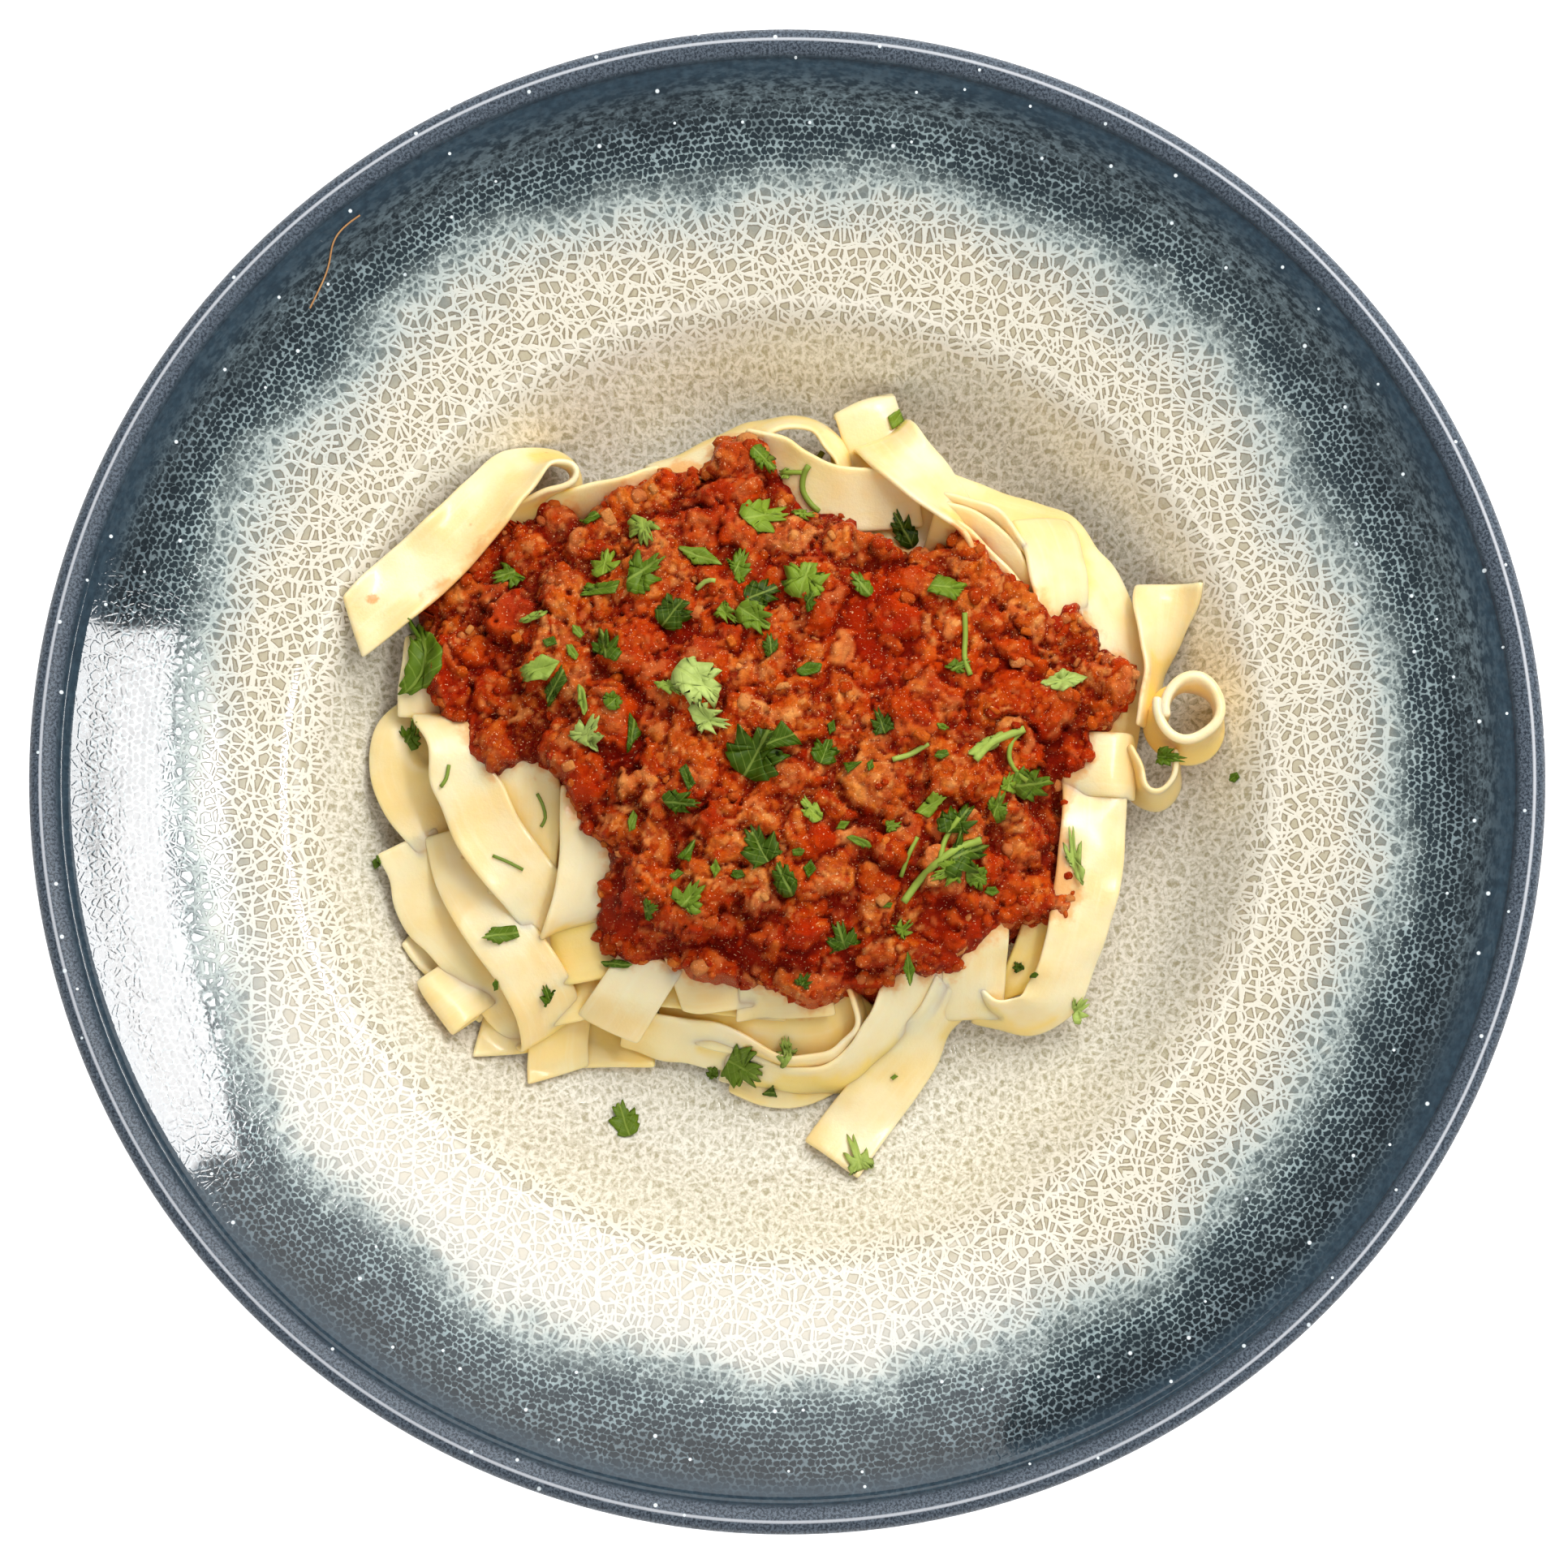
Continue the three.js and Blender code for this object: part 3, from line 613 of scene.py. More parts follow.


# After each ribbon's stations comes its painted shade, from 0 to 1: a deeper gold painted on ribbons that lie
# in shade.
LEFT_RIBBONS = [
    ([(-79.3, 29.5, 28.6, 108, 3), (-73.3, 35, 28, 126, 2), (-66.5, 40.8, 27.2, 133, 0),
      (-60, 47.2, 26.8, 135, -4), (-55, 52.6, 26.3, 136, -14), (-51, 57.2, 25.2, 137, -30),
      (-47.2, 60, 23.6, 135, -52), (-43.3, 61.1, 22.2, 110, -74), (-39.6, 59.6, 21.6, 60, -84),
      (-39.6, 56.8, 21.3, -40, -78), (-43.5, 53.9, 21, -52, -62), (-48.5, 50.4, 20.4, -50, -52),
      (-54.5, 46, 19.5, -48, -48)], 0.05),
    ([(-45, 49.5, 18, -70, -55), (-38, 52.5, 20.5, -85, -52), (-31, 53.6, 21.5, -88, -50),
      (-23, 55, 22, -88, -45)], 0.1),
    ([(-64, 30, 21, 10, -20), (-65, 22, 21, 8, -20), (-65, 14, 20, 0, -20)], 0.0),
    ([(-66.5, 14, 17, -60, 10), (-70, 10, 18.5, -35, 0), (-70.2, 4, 19, -5, 0),
      (-67.8, -2, 18.5, 10, -10), (-63.5, -7, 17.5, 25, -20), (-58.5, -12, 16, 35, -25)], 0.1),
    ([(-62.5, 14.5, 21, 2, 0), (-62, 12.6, 25, 2, 0), (-59.4, 8, 27.5, 2, 0), (-59.2, 2.5, 27.5, 10, 0),
      (-57.4, -0.7, 27.2, 20, 0), (-54.5, -7.5, 27, 25, 0), (-50.2, -13.4, 26.5, 35, 0),
      (-46.5, -17.7, 25, 33, 0), (-43, -22, 22, 35, 0), (-39, -26, 19, 40, 0)], 0.0),
    ([(-48.5, 6, 26, 0, 0), (-46.8, 0, 25.5, -3, 5), (-47, -6, 24.5, -2, 8), (-47.8, -12, 23.5, 0, 8),
      (-48.5, -18, 22, 5, 0)], 0.15),
    ([(-35, 0, 29, -8, 0), (-35.2, -6, 28.8, -5, 0), (-35.4, -12, 28.3, 0, 0), (-36.8, -18.5, 27, 8, 0),
      (-39, -23, 24.5, 15, 0), (-39.7, -24.2, 22, 15, 0), (-38.5, -22.5, 18.5, 15, 0)], 0.0),
    ([(-69.7, -8.1, 18.5, 26, 0), (-66.9, -13.8, 18, 17, 0), (-66.5, -17.5, 17.8, 22, 0),
      (-64.8, -21.3, 17.6, 42, 0), (-61.7, -24, 17.5, 45, 0), (-58.3, -27.8, 17.2, 45, 0),
      (-53.6, -32.5, 16.5, 42, 0), (-49.3, -38.1, 14.5, 45, 0), (-45, -41, 13, 45, 0)], 0.05),
    ([(-60.5, -6, 19, 15, 0), (-58.5, -14, 21, 27, 0), (-54.5, -22, 22.5, 34, 0),
      (-51.5, -26.5, 22.8, 37, 0), (-48.5, -30.5, 22.6, 38, 0), (-45.8, -34.8, 21.6, 33, 0),
      (-43.9, -38.5, 19.5, 29, 0), (-43.3, -41.7, 16.5, 31, 0), (-43.6, -43.2, 13.5, 32, 0),
      (-45.2, -41.5, 11.3, 34, 0), (-48, -38.5, 11, 38, 0)], 0.0),
    ([(-55.8, -32.2, 16, -52, 0), (-59.3, -35, 17.2, -52, 0), (-62.4, -37.4, 18.6, -52, 0),
      (-64.4, -39, 18.2, -52, 0), (-63.6, -38.2, 16.2, -52, 0), (-60, -35.4, 13.8, -52, 0)], 0.05),
    ([(-66.5, -22, 14.5, 50, 0), (-63.5, -26.5, 14, 52, 0), (-58, -31.5, 13.5, 48, 0),
      (-52, -37, 12.5, 45, 0)], 0.0),
    ([(-49, -36, 13.5, 12, 0), (-50.5, -42, 13, 8, 0), (-51.5, -47, 12, 5, 0)], 0.1),
    ([(-41, -38, 13, 20, 0), (-41.6, -43, 12.5, 20, 0), (-42, -47, 11.5, 19, 0),
      (-41.8, -50.6, 10, 18, 0)], 0.05),
    ([(-44, -43, 9.2, 82, 0), (-36, -43, 9, 87, 0), (-30, -43, 8.8, 90, 0),
      (-24.3, -43, 8.7, 92, 0)], 0.3),
    ([(-46, -29, 19, 75, 10), (-40, -29, 20, 78, 10), (-34, -28, 21, 82, 5),
      (-28, -27, 22, 85, 0)], 0.55),
    ([(-43, -37, 16, 60, 0), (-37, -35.5, 18, 70, 0), (-31, -34, 19, 80, 0)], 0.25),
]
FRONT_RIBBONS = [
    ([(-24, -30, 25, -25, 0), (-29, -37.5, 23, -25, 0), (-33, -43, 18, -25, 0)], 0.0),
    ([(11.8, -33.8, 19, 10, -68), (13.4, -37.8, 18.5, 5, -70), (14.2, -42.2, 17.5, -12, -70),
      (12.6, -46, 16.5, -42, -68), (8.6, -49.3, 15.5, -75, -66), (1.6, -50.3, 15, -92, -64),
      (-4.3, -49, 14.8, -102, -62), (-8.8, -46.7, 14.8, -106, -60), (-12.8, -45.5, 14.8, -100, -58),
      (-18, -44.3, 14.8, -96, -55), (-24, -43.5, 15, -94, -50), (-30, -41, 15.5, -100, -45)], 0.0),
    ([(-10, -48, 10, -100, -20), (-2.5, -50.5, 10, -90, -20), (5, -49.5, 10.3, -75, -20),
      (12, -45, 11, -60, -20)], 0.15),
    ([(26, -27, 26, -12, 0), (24.5, -32.5, 25, -15, -8), (22.5, -37, 23, -20, -22),
      (19.5, -41.5, 20.5, -30, -42), (15.8, -45.8, 18, -50, -60), (10.5, -50.8, 14.5, -72, -68),
      (2, -52.2, 13, -90, -68), (-5, -51, 12.6, -100, -66), (-12, -48.3, 10.4, -105, -60)], 0.0),
    ([(-21, -34.5, 24, -70, -20), (-16.5, -34.5, 24, -85, -20), (-11, -34, 24, -95, -15),
      (-5, -33, 24, -95, -15)], 0.2),
    ([(-9, -36.5, 24, -95, -30), (-4, -36, 24, -90, -32), (2, -35.8, 24, -88, -30),
      (8, -35, 24, -80, -25)], 0.15),
    ([(-24, -36, 17, -80, -15), (-15, -40, 17.5, -95, -20), (-6, -42, 18, -92, -22),
      (2, -42.5, 18, -88, -22), (9, -41, 18.5, -70, -22), (13, -36, 19, -40, -20)], 0.25),
    ([(-30, -33, 19, -60, 0), (-22, -33, 20, -75, -8), (-12, -34.5, 20.5, -88, -12),
      (0, -35.5, 20.5, -90, -15)], 0.35),
    ([(31, -36, 22, -35, -35), (27.5, -41, 18, -28, -55), (24, -45.5, 14.5, -28, -45),
      (20, -50, 12.5, -32, -22), (15.8, -55.5, 11.2, -34, -8), (11.5, -61, 10.8, -36, 0),
      (8, -66, 12, -37, 4)], 0.0),
]
RIGHT_RIBBONS = [
    ([(55.5, 6, 24, 0, 0), (56, 0, 25, 0, -5), (55.6, -8, 25.5, -2, -8), (55, -15, 25.2, 0, -10),
      (53.6, -22, 24.5, 3, -12), (52, -28.5, 23.3, 5, -14), (50, -34, 21.5, 2, -22),
      (47.5, -38.5, 19.5, -15, -40), (43, -40.5, 17.8, -50, -58), (38, -40, 17.2, -85, -66),
      (34, -38.3, 17, -105, -60)], 0.0),
    ([(34, -22, 27.5, 5, 0), (34.2, -28, 26.5, 6, -5), (34, -33, 24, 6, -8), (33.6, -37.5, 20.5, 7, -5),
      (33.6, -40.3, 17, 5, 0), (34, -39, 13.5, 5, 0)], 0.0),
    ([(50, -18, 21, 15, 0), (47, -26, 20, 18, 0), (43.5, -33, 19, 22, 10), (41, -37, 18, 20, 30)], 0.45),
    ([(50, 5, 25, 90, 0), (55, 5, 26.6, 90, 0), (61, 4.8, 26, 88, 0), (63.4, 4.6, 22.5, 88, 5)], 0.0),
    ([(61.5, 8.5, 22, 180, -80), (63.3, 4, 22, 190, -78), (64.6, 0.6, 22, 225, -76),
      (67.6, -0.8, 22, 280, -76), (70.6, 2, 22.3, 340, -78), (70.9, 7.5, 23, 0, -88)], 0.0),
    ([(69.7, 38.6, 22.5, 0, 4), (68.8, 33, 22.5, -2, -28), (68, 28, 22, -3, -50),
      (67.3, 23, 21.5, -5, -66), (66.6, 17.5, 21, -5, -74), (65.5, 12, 20.5, 0, -75)], 0.05),
    ([(28, 54, 22, 80, -20), (33.6, 52, 22, 80, -30), (38.4, 50.6, 22, 77, -30), (44.9, 49, 21, 70, -30),
      (48.9, 47.4, 22, 57, -30), (52.1, 42.5, 22, 35, -30), (55.3, 39, 22, 36, -30),
      (58.1, 34.1, 22, 20, -30), (59.7, 27.3, 22, 8, -30), (59.9, 23, 22, 2, -30),
      (59.6, 16.5, 22, -4, -30), (58.8, 10, 21.5, -6, -28), (57.4, 4, 20.5, -8, -26)], 0.0),
    ([(46.3, 50.5, 23, 8, -25), (47.8, 47.6, 25.5, 6, -25), (49.2, 43, 27, 3, -30),
      (50, 38, 27.8, 0, -35), (50.2, 33.5, 28, -2, -35), (49.5, 27, 27, -5, -35)], 0.0),
    ([(27.5, 51.2, 22.4, -100, -50), (32.7, 49.9, 22.8, -106, -50), (36.1, 49, 23.2, -125, -50),
      (39, 46.1, 23.5, -140, -50), (41.2, 42.4, 23.6, -152, -50), (43.5, 36.1, 23.4, -160, -50),
      (45.2, 31.2, 23, -162, -50)], 0.0),
    ([(27.5, 49.2, 23.2, -104, -48), (32.5, 47.1, 23.6, -112, -48), (35.4, 45, 24, -128, -48),
      (38.3, 41.8, 24.2, -138, -48), (41.2, 37.2, 24.2, -150, -48), (43.6, 32.6, 23.8, -156, -48)], 0.1),
    ([(25.5, 47.2, 24, -108, -45), (30, 45.4, 24.4, -114, -45), (33, 42.3, 24.8, -124, -45),
      (36.8, 37.5, 25, -132, -45), (40.8, 32.6, 24.6, -138, -45)], 0.2),
    ([(6, 52, 19.5, 92, 0), (14, 51.5, 20.5, 84, 0), (22, 49.5, 20.8, 72, 0), (30, 45.5, 20.6, 60, 0),
      (37, 40, 20.2, 46, 0), (42, 33, 19.5, 30, 0), (45, 25, 18.5, 14, 0)], 0.12),
    ([(8, 58, 17.5, 90, 6), (17, 57.5, 18.5, 82, 6), (26, 54, 18.5, 66, 6), (34, 49, 18, 54, 6),
      (42, 43, 17, 44, 6)], 0.2),
]
BACK_RIBBONS = [
    ([(17.6, 65.4, 20, 28, 0), (18.6, 64.2, 24, 28, -5), (20.6, 61.4, 26.5, 32, -15),
      (24.2, 57.8, 27.3, 40, -32), (27.4, 54.2, 27.3, 40, -45), (30.2, 50.8, 26.8, 34, -62),
      (32.4, 47.4, 26, 20, -72), (34, 43.5, 24.6, 10, -75), (35.4, 38.6, 21, 8, -76)], 0.0),
    ([(17.5, 58, 22, 25, 0), (16.4, 64, 19.5, 24, 0), (15.2, 68.9, 20, 22, 0), (14.1, 72.3, 20.5, 21, 0),
      (13.8, 72.9, 17, 21, 0)], 0.1),
    ([(-24, 58.5, 20.5, 130, -45), (-17.5, 61.5, 21.5, 122, -50), (-11, 65, 22, 110, -60),
      (-5, 67.8, 21.8, 98, -68), (1, 69.3, 21.5, 88, -74), (6, 68.2, 21.3, 65, -76),
      (9.5, 65, 21.2, 35, -76), (11.3, 61, 21, 15, -78), (11.5, 57, 20.5, 0, -80)], 0.05),
    ([(-9, 62.5, 23, -110, -34), (-3, 61, 24, -125, -30), (1, 57.8, 24.8, -120, -26),
      (6, 55, 25.2, -105, -22), (12, 54, 25.2, -92, -20), (18, 54.2, 24.8, -85, -18),
      (24, 55, 24, -80, -16)], 0.06),
]


def buried_ribbons():
    """Ribbons low in the heap, lying round it under the ones that show."""
    draw = random.Random(411)
    ribbons = []
    for number in range(15):
        start = number * 24.0 + draw.uniform(-6, 6)
        inset = draw.uniform(9, 17)
        height = draw.uniform(11, 17)
        lean = draw.uniform(-45, -10)
        stations = []
        for step in range(6):
            angle = math.radians(start + step * 13.0)
            reach = float(heap_reach(angle)) - inset + 1.5 * math.sin(step * 1.3 + number)
            level = height + 1.2 * math.sin(step + number)
            width_turn = math.degrees(angle) + draw.uniform(-8, 8)
            width_lean = lean + draw.uniform(-8, 8)
            stations.append((reach * math.cos(angle), reach * math.sin(angle), level, width_turn, width_lean))
        ribbons.append((stations, draw.uniform(0.1, 0.35)))
    return ribbons


pasta_pieces = [
    pasta_piece("fettuccine_left", LEFT_RIBBONS),
    pasta_piece("fettuccine_front", FRONT_RIBBONS),
    pasta_piece("fettuccine_right", RIGHT_RIBBONS),
    pasta_piece("fettuccine_back", BACK_RIBBONS),
    pasta_piece("fettuccine_buried", buried_ribbons()),
    pasta_piece("fettuccine_curl", [(standing_ring(), 0.0)], thick=1.8, clamp=0.0),
]


def surface_trees(pieces):
    """Each piece's surface, with its modifiers applied, ready to be probed from above."""
    graph = bpy.context.evaluated_depsgraph_get()
    return [BVHTree.FromObject(piece, graph) for piece in pieces]


# Painted shade: where ribbons close over each other the pasta is painted a deeper gold, each place by how
# much of the sky above it is shut off by the rest of the heap.
FOLD_REACH = 14
FOLD_SHADE = 0.75
WAYS_UP = [Vector((math.cos(k * math.pi / 3.5) * lean, math.sin(k * math.pi / 3.5) * lean, 1.0)).normalized()
           for k, lean in enumerate((0.5, 1.2, 0.6, 1.3, 0.55, 1.25, 0.6))]


def paint_fold_shade(pieces):
    trees = surface_trees(pieces)
    for piece in pieces:
        layer = piece.data.attributes["painted_shade"].data
        for vert, painted_shade_value in zip(piece.data.vertices, layer):
            start = vert.co + Vector((0.0, 0.0, 1.3 * MM))
            shut = 0
            for way in WAYS_UP:
                shut += any(tree.ray_cast(start, way, FOLD_REACH * MM)[0] is not None for tree in trees)
            painted_shade_value.value = min(1.0, painted_shade_value.value + FOLD_SHADE * shut / len(WAYS_UP))


# Middle of the heap: pasta that the ribbons close over, with folds for its tangle.
core_shape = bmesh.new()
core_shape.verts.layers.float.new("painted_shade")
core_shape.verts.layers.float.new("stain")
core_shape.loops.layers.uv.new("strip")
bmesh.ops.create_uvsphere(core_shape, u_segments=120, v_segments=48, radius=1.0)
for vert in core_shape.verts:
    angle = math.atan2(vert.co.y, vert.co.x)
    share = min(1.0, math.hypot(vert.co.x, vert.co.y))
    reach = (float(heap_reach(np.float64(angle))) - 4.5) * share
    x, y = reach * math.cos(angle), reach * math.sin(angle)
    folds = (1.1 * abs(math.sin(0.42 * x + 1.3 * math.sin(0.11 * y)))
             + 0.9 * abs(math.sin(0.37 * y + math.sin(0.13 * x))))
    top = float(heap_height(x, y)) - 4.6 - 4.0 * share**4 + folds
    foot = float(floor_height(x, y)) + 0.4
    if share > 0.8:
        z = foot + (top - foot) * max(0.0, min(1.0, 0.5 + 0.9 * vert.co.z))
    else:
        z = top if vert.co.z > 0 else foot
    vert.co = (x * MM, y * MM, z * MM)
    vert[core_shape.verts.layers.float["painted_shade"]] = 0.55
    vert[core_shape.verts.layers.float["stain"]] = -9.0
core = make_piece("fettuccine_core", core_shape, pasta.material)
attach(core, "root")
pasta_pieces.append(core)
paint_fold_shade(pasta_pieces[:-1])

# Bolognese: a thick, glossy bed of minced beef cooked down in tomato, ladled over the heap so that
# it settles between the ribbons. The mince is in grains of 1 to 2 mm, stuck together in lumps.
SAUCE_CELL = 0.36
SAUCE_LOW = np.array((-70.0, -43.0))
SAUCE_HIGH = np.array((68.0, 69.0))
random_state = np.random.RandomState(20)


def height_above(trees, x, y, otherwise):
    """Height, in mm, of the topmost surface over a place."""
    top = otherwise
    start, down = Vector((x * MM, y * MM, 0.12)), Vector((0, 0, -1))
    for tree in trees:
        hit = tree.ray_cast(start, down)[0]
        if hit is not None:
            top = max(top, hit.z / MM)
    return top


def blurred(field, cells):
    reach = int(cells * 3)
    kernel = np.exp(-0.5 * (np.arange(-reach, reach + 1) / cells) ** 2)
    kernel /= kernel.sum()
    for axis in (0, 1):
        padded = np.pad(field, [(reach, reach) if k == axis else (0, 0) for k in (0, 1)], mode="edge")
        length = field.shape[axis]
        shifted = (np.take(padded, range(k, k + length), axis=axis) for k in range(len(kernel)))
        field = sum(weight * part for weight, part in zip(kernel, shifted))
    return field


def soft_field(pitch):
    """Smooth random field over the bed, from -1 to 1, that changes every few mm."""
    count = [int(n * SAUCE_CELL / pitch) + 3 for n in field_x.shape]
    coarse_grid = random_state.uniform(-1, 1, count)
    rows = np.arange(field_x.shape[0]) * SAUCE_CELL / pitch
    columns = np.arange(field_x.shape[1]) * SAUCE_CELL / pitch
    i, j = rows.astype(int), columns.astype(int)
    fi, fj = rows - i, columns - j
    fi, fj = (fi * fi * (3 - 2 * fi))[:, None], (fj * fj * (3 - 2 * fj))[None, :]
    a, b = coarse_grid[np.ix_(i, j)], coarse_grid[np.ix_(i + 1, j)]
    c, d = coarse_grid[np.ix_(i, j + 1)], coarse_grid[np.ix_(i + 1, j + 1)]
    return (a * (1 - fi) + b * fi) * (1 - fj) + (c * (1 - fi) + d * fi) * fj


pasta_tree = surface_trees(pasta_pieces)
counts = ((SAUCE_HIGH - SAUCE_LOW) / SAUCE_CELL).astype(int) + 1
grid_x = SAUCE_LOW[0] + SAUCE_CELL * np.arange(counts[0])
grid_y = SAUCE_LOW[1] + SAUCE_CELL * np.arange(counts[1])
field_x, field_y = np.meshgrid(grid_x, grid_y, indexing="ij")
inside = inside_sauce(field_x, field_y)
bed_floor = np.zeros(field_x.shape)
PROBE_EVERY = 3
for i in range(0, counts[0], PROBE_EVERY):
    for j in range(0, counts[1], PROBE_EVERY):
        x, y = grid_x[i], grid_y[j]
        level = height_above(pasta_tree, x, y, float(floor_height(x, y)))
        bed_floor[i:i + PROBE_EVERY, j:j + PROBE_EVERY] = level
under = blurred(bed_floor, 4)
heap_field = heap_height(field_x, field_y)
base = blurred(np.maximum(bed_floor, np.where(inside > 3, heap_field, 0.0)), 7)
base = np.maximum(base, np.where(inside > 6, heap_field, 0.0))
base = blurred(base, 5)

# Places where the tomato lies smooth, with little mince in it: x, y and reach.
SMOOTH_PATCHES = [
    (15, 28, 9), (-30, -24, 6), (-50, 30, 5), (-28, 4, 5), (6, -12, 4), (48, 6, 4), (-20, 26, 4),
    (30, -27, 6), (48, -14, 4), (-22, 57, 4), (-8, -30, 5), (-12, 50, 5), (2, -30, 4), (-38, -2, 4),
    (40, 20, 4), (-60, 20, 4),
]
smoothness = np.zeros(field_x.shape)
for x, y, reach in SMOOTH_PATCHES:
    away = ((field_x - x) ** 2 + (field_y - y) ** 2) / reach**2
    smoothness = np.maximum(smoothness, np.exp(-(away**2)))

depth = 1.2 + 5.3 * (1 - np.exp(-np.maximum(inside, 0) / 5.0))
swell = 1.2 * soft_field(12.0) + 0.7 * soft_field(6.0)
warp_x = 1.5 * soft_field(4.0) + 0.6 * soft_field(1.5)
warp_y = 1.5 * soft_field(4.0) + 0.6 * soft_field(1.5)
height = base + depth + swell
colour_red = np.array(srgb(170, 27, 0)[:3])
colour_bright = np.array(srgb(204, 60, 0)[:3])
painted_shade_red = np.array(srgb(104, 8, 0)[:3])
MEAT_TONES = ((208, 96, 12), (232, 134, 46), (190, 74, 6), (246, 174, 94), (154, 50, 2))
MEAT = [np.array(srgb(*tone)[:3]) for tone in MEAT_TONES]
meaty = np.clip(0.62 + 0.85 * soft_field(9.0) - 0.7 * smoothness, 0.06, 1.0)
tone = (0.5 + 0.5 * soft_field(5.0))[..., None]
colour = colour_red * (1 - tone) + colour_bright * tone


def press_grains(height, colour, count, radii, lift, flatten, paint, avoid_smooth, warp):
    """Grains pressed into the bed: the higher of the bed and each grain's cap is kept."""
    flat = blurred(height, 1.5)
    inside_index = np.argwhere(inside > 0.4)
    for _ in range(count):
        i, j = inside_index[random_state.randint(len(inside_index))]
        i, j = int(i), int(j)
        if random_state.uniform() < avoid_smooth * smoothness[i, j]:
            continue
        reach = random_state.uniform(*radii)
        stretch = random_state.uniform(0.75, 1.3)
        turn = random_state.uniform(0, math.pi)
        cells = int((reach * 1.35 + warp * 2.0) / SAUCE_CELL) + 1
        i0, i1 = max(0, i - cells), min(counts[0], i + cells + 1)
        j0, j1 = max(0, j - cells), min(counts[1], j + cells + 1)
        dx = field_x[i0:i1, j0:j1] - grid_x[i] + warp * (warp_x[i0:i1, j0:j1] - warp_x[i, j])
        dy = field_y[i0:i1, j0:j1] - grid_y[j] + warp * (warp_y[i0:i1, j0:j1] - warp_y[i, j])
        u = (dx * math.cos(turn) + dy * math.sin(turn)) / (reach * stretch)
        v = (-dx * math.sin(turn) + dy * math.cos(turn)) / (reach / stretch)
        away = u * u + v * v
        cap = np.minimum(np.maximum(0.0, 1 - away) ** 0.6, random_state.uniform(0.6, 1.0)) * reach * flatten
        lean_x, lean_y = random_state.uniform(-0.3, 0.3, 2)
        middle = flat[i, j] + random_state.uniform(*lift) * reach
        top = middle + cap - reach * flatten * 0.5 + lean_x * dx + lean_y * dy
        win = (away < 1) & (top > height[i0:i1, j0:j1])
        patch = height[i0:i1, j0:j1]
        patch[win] = top[win]
        shade = MEAT[random_state.randint(len(MEAT))]
        share = paint * random_state.uniform(0.35, 1.0) * (0.3 + 0.7 * meaty[i, j])
        tint = colour[i0:i1, j0:j1]
        weight = (share * np.clip(cap / (reach * flatten) * 1.5 - 0.25, 0, 1))[..., None]
        tint[win] = (tint * (1 - weight) + shade * weight)[win]


# Lumps, then grains, then grit.
press_grains(height, colour, count=200, radii=(2.4, 5.2), lift=(0.20, 0.60), flatten=0.92,
             paint=0.35, avoid_smooth=0.75, warp=1.0)
press_grains(height, colour, count=1250, radii=(0.9, 1.9), lift=(0.10, 0.60), flatten=0.85,
             paint=0.8, avoid_smooth=0.85, warp=1.7)
press_grains(height, colour, count=10000, radii=(0.4, 0.9), lift=(0.10, 0.65), flatten=0.9,
             paint=0.75, avoid_smooth=0.85, warp=0.5)
height += (0.20 * soft_field(1.0) + 0.12 * soft_field(0.6)) * (1 - 0.4 * smoothness)
height = blurred(height, 0.45)

# Painted shade: the colour is darkened in the hollows and between the grains. The bed's edge comes down in
# crumbs.
painted_hollow_shade = np.clip((blurred(height, 6) - height) / 1.0, 0, 1)[..., None]
colour = colour * (1 - 0.85 * painted_hollow_shade) + painted_shade_red * 0.85 * painted_hollow_shade
painted_crevice_shade = np.clip((blurred(height, 1.8) - height) / 0.32 - 0.15, 0, 1)[..., None]
colour = colour * (1 - 0.7 * painted_crevice_shade) + painted_shade_red * 0.7 * painted_crevice_shade
ragged_edge = inside + 0.7 * soft_field(2.6) + 0.45 * soft_field(1.3)
keep = np.clip((ragged_edge + 1.0) / 1.5, 0, 1)
keep = keep * keep * (3 - 2 * keep)
TUCK = 3.2
height = under - TUCK + (height - under + TUCK) * np.sqrt(keep)

BED_MARGIN = 2.2
SKIRT_SHARE = 0.6
SKIRT_MIDDLE = 3.0 * MM
SKIRT_LEVEL = 13.5 * MM
bed_shape = bmesh.new()
bmesh.ops.create_grid(bed_shape, x_segments=int(counts[0]) - 1, y_segments=int(counts[1]) - 1, size=1.0)
bed_colour = bed_shape.verts.layers.float_color.new("sauce_colour")
outside = []
for vert in bed_shape.verts:
    i = int(round((vert.co.x + 1) / 2 * (counts[0] - 1)))
    j = int(round((vert.co.y + 1) / 2 * (counts[1] - 1)))
    if inside[i, j] < -BED_MARGIN:
        outside.append(vert)
        continue
    vert.co = (grid_x[i] * MM, grid_y[j] * MM, height[i, j] * MM)
    vert[bed_colour] = (*colour[i, j], meaty[i, j])
bmesh.ops.delete(bed_shape, geom=outside, context="VERTS")
# The skirt tucks in under the heap, out of sight, and closes the bed.
rim_edges = [edge for edge in bed_shape.edges if edge.is_boundary]
skirt = bmesh.ops.extrude_edge_only(bed_shape, edges=rim_edges)["geom"]
for item in skirt:
    if isinstance(item, bmesh.types.BMVert):
        drawn_in = SKIRT_MIDDLE + (item.co.y - SKIRT_MIDDLE) * SKIRT_SHARE
        item.co = (item.co.x * SKIRT_SHARE, drawn_in, SKIRT_LEVEL)
bmesh.ops.holes_fill(bed_shape, edges=[edge for edge in bed_shape.edges if edge.is_boundary], sides=0)
bmesh.ops.recalc_face_normals(bed_shape, faces=bed_shape.faces[:])


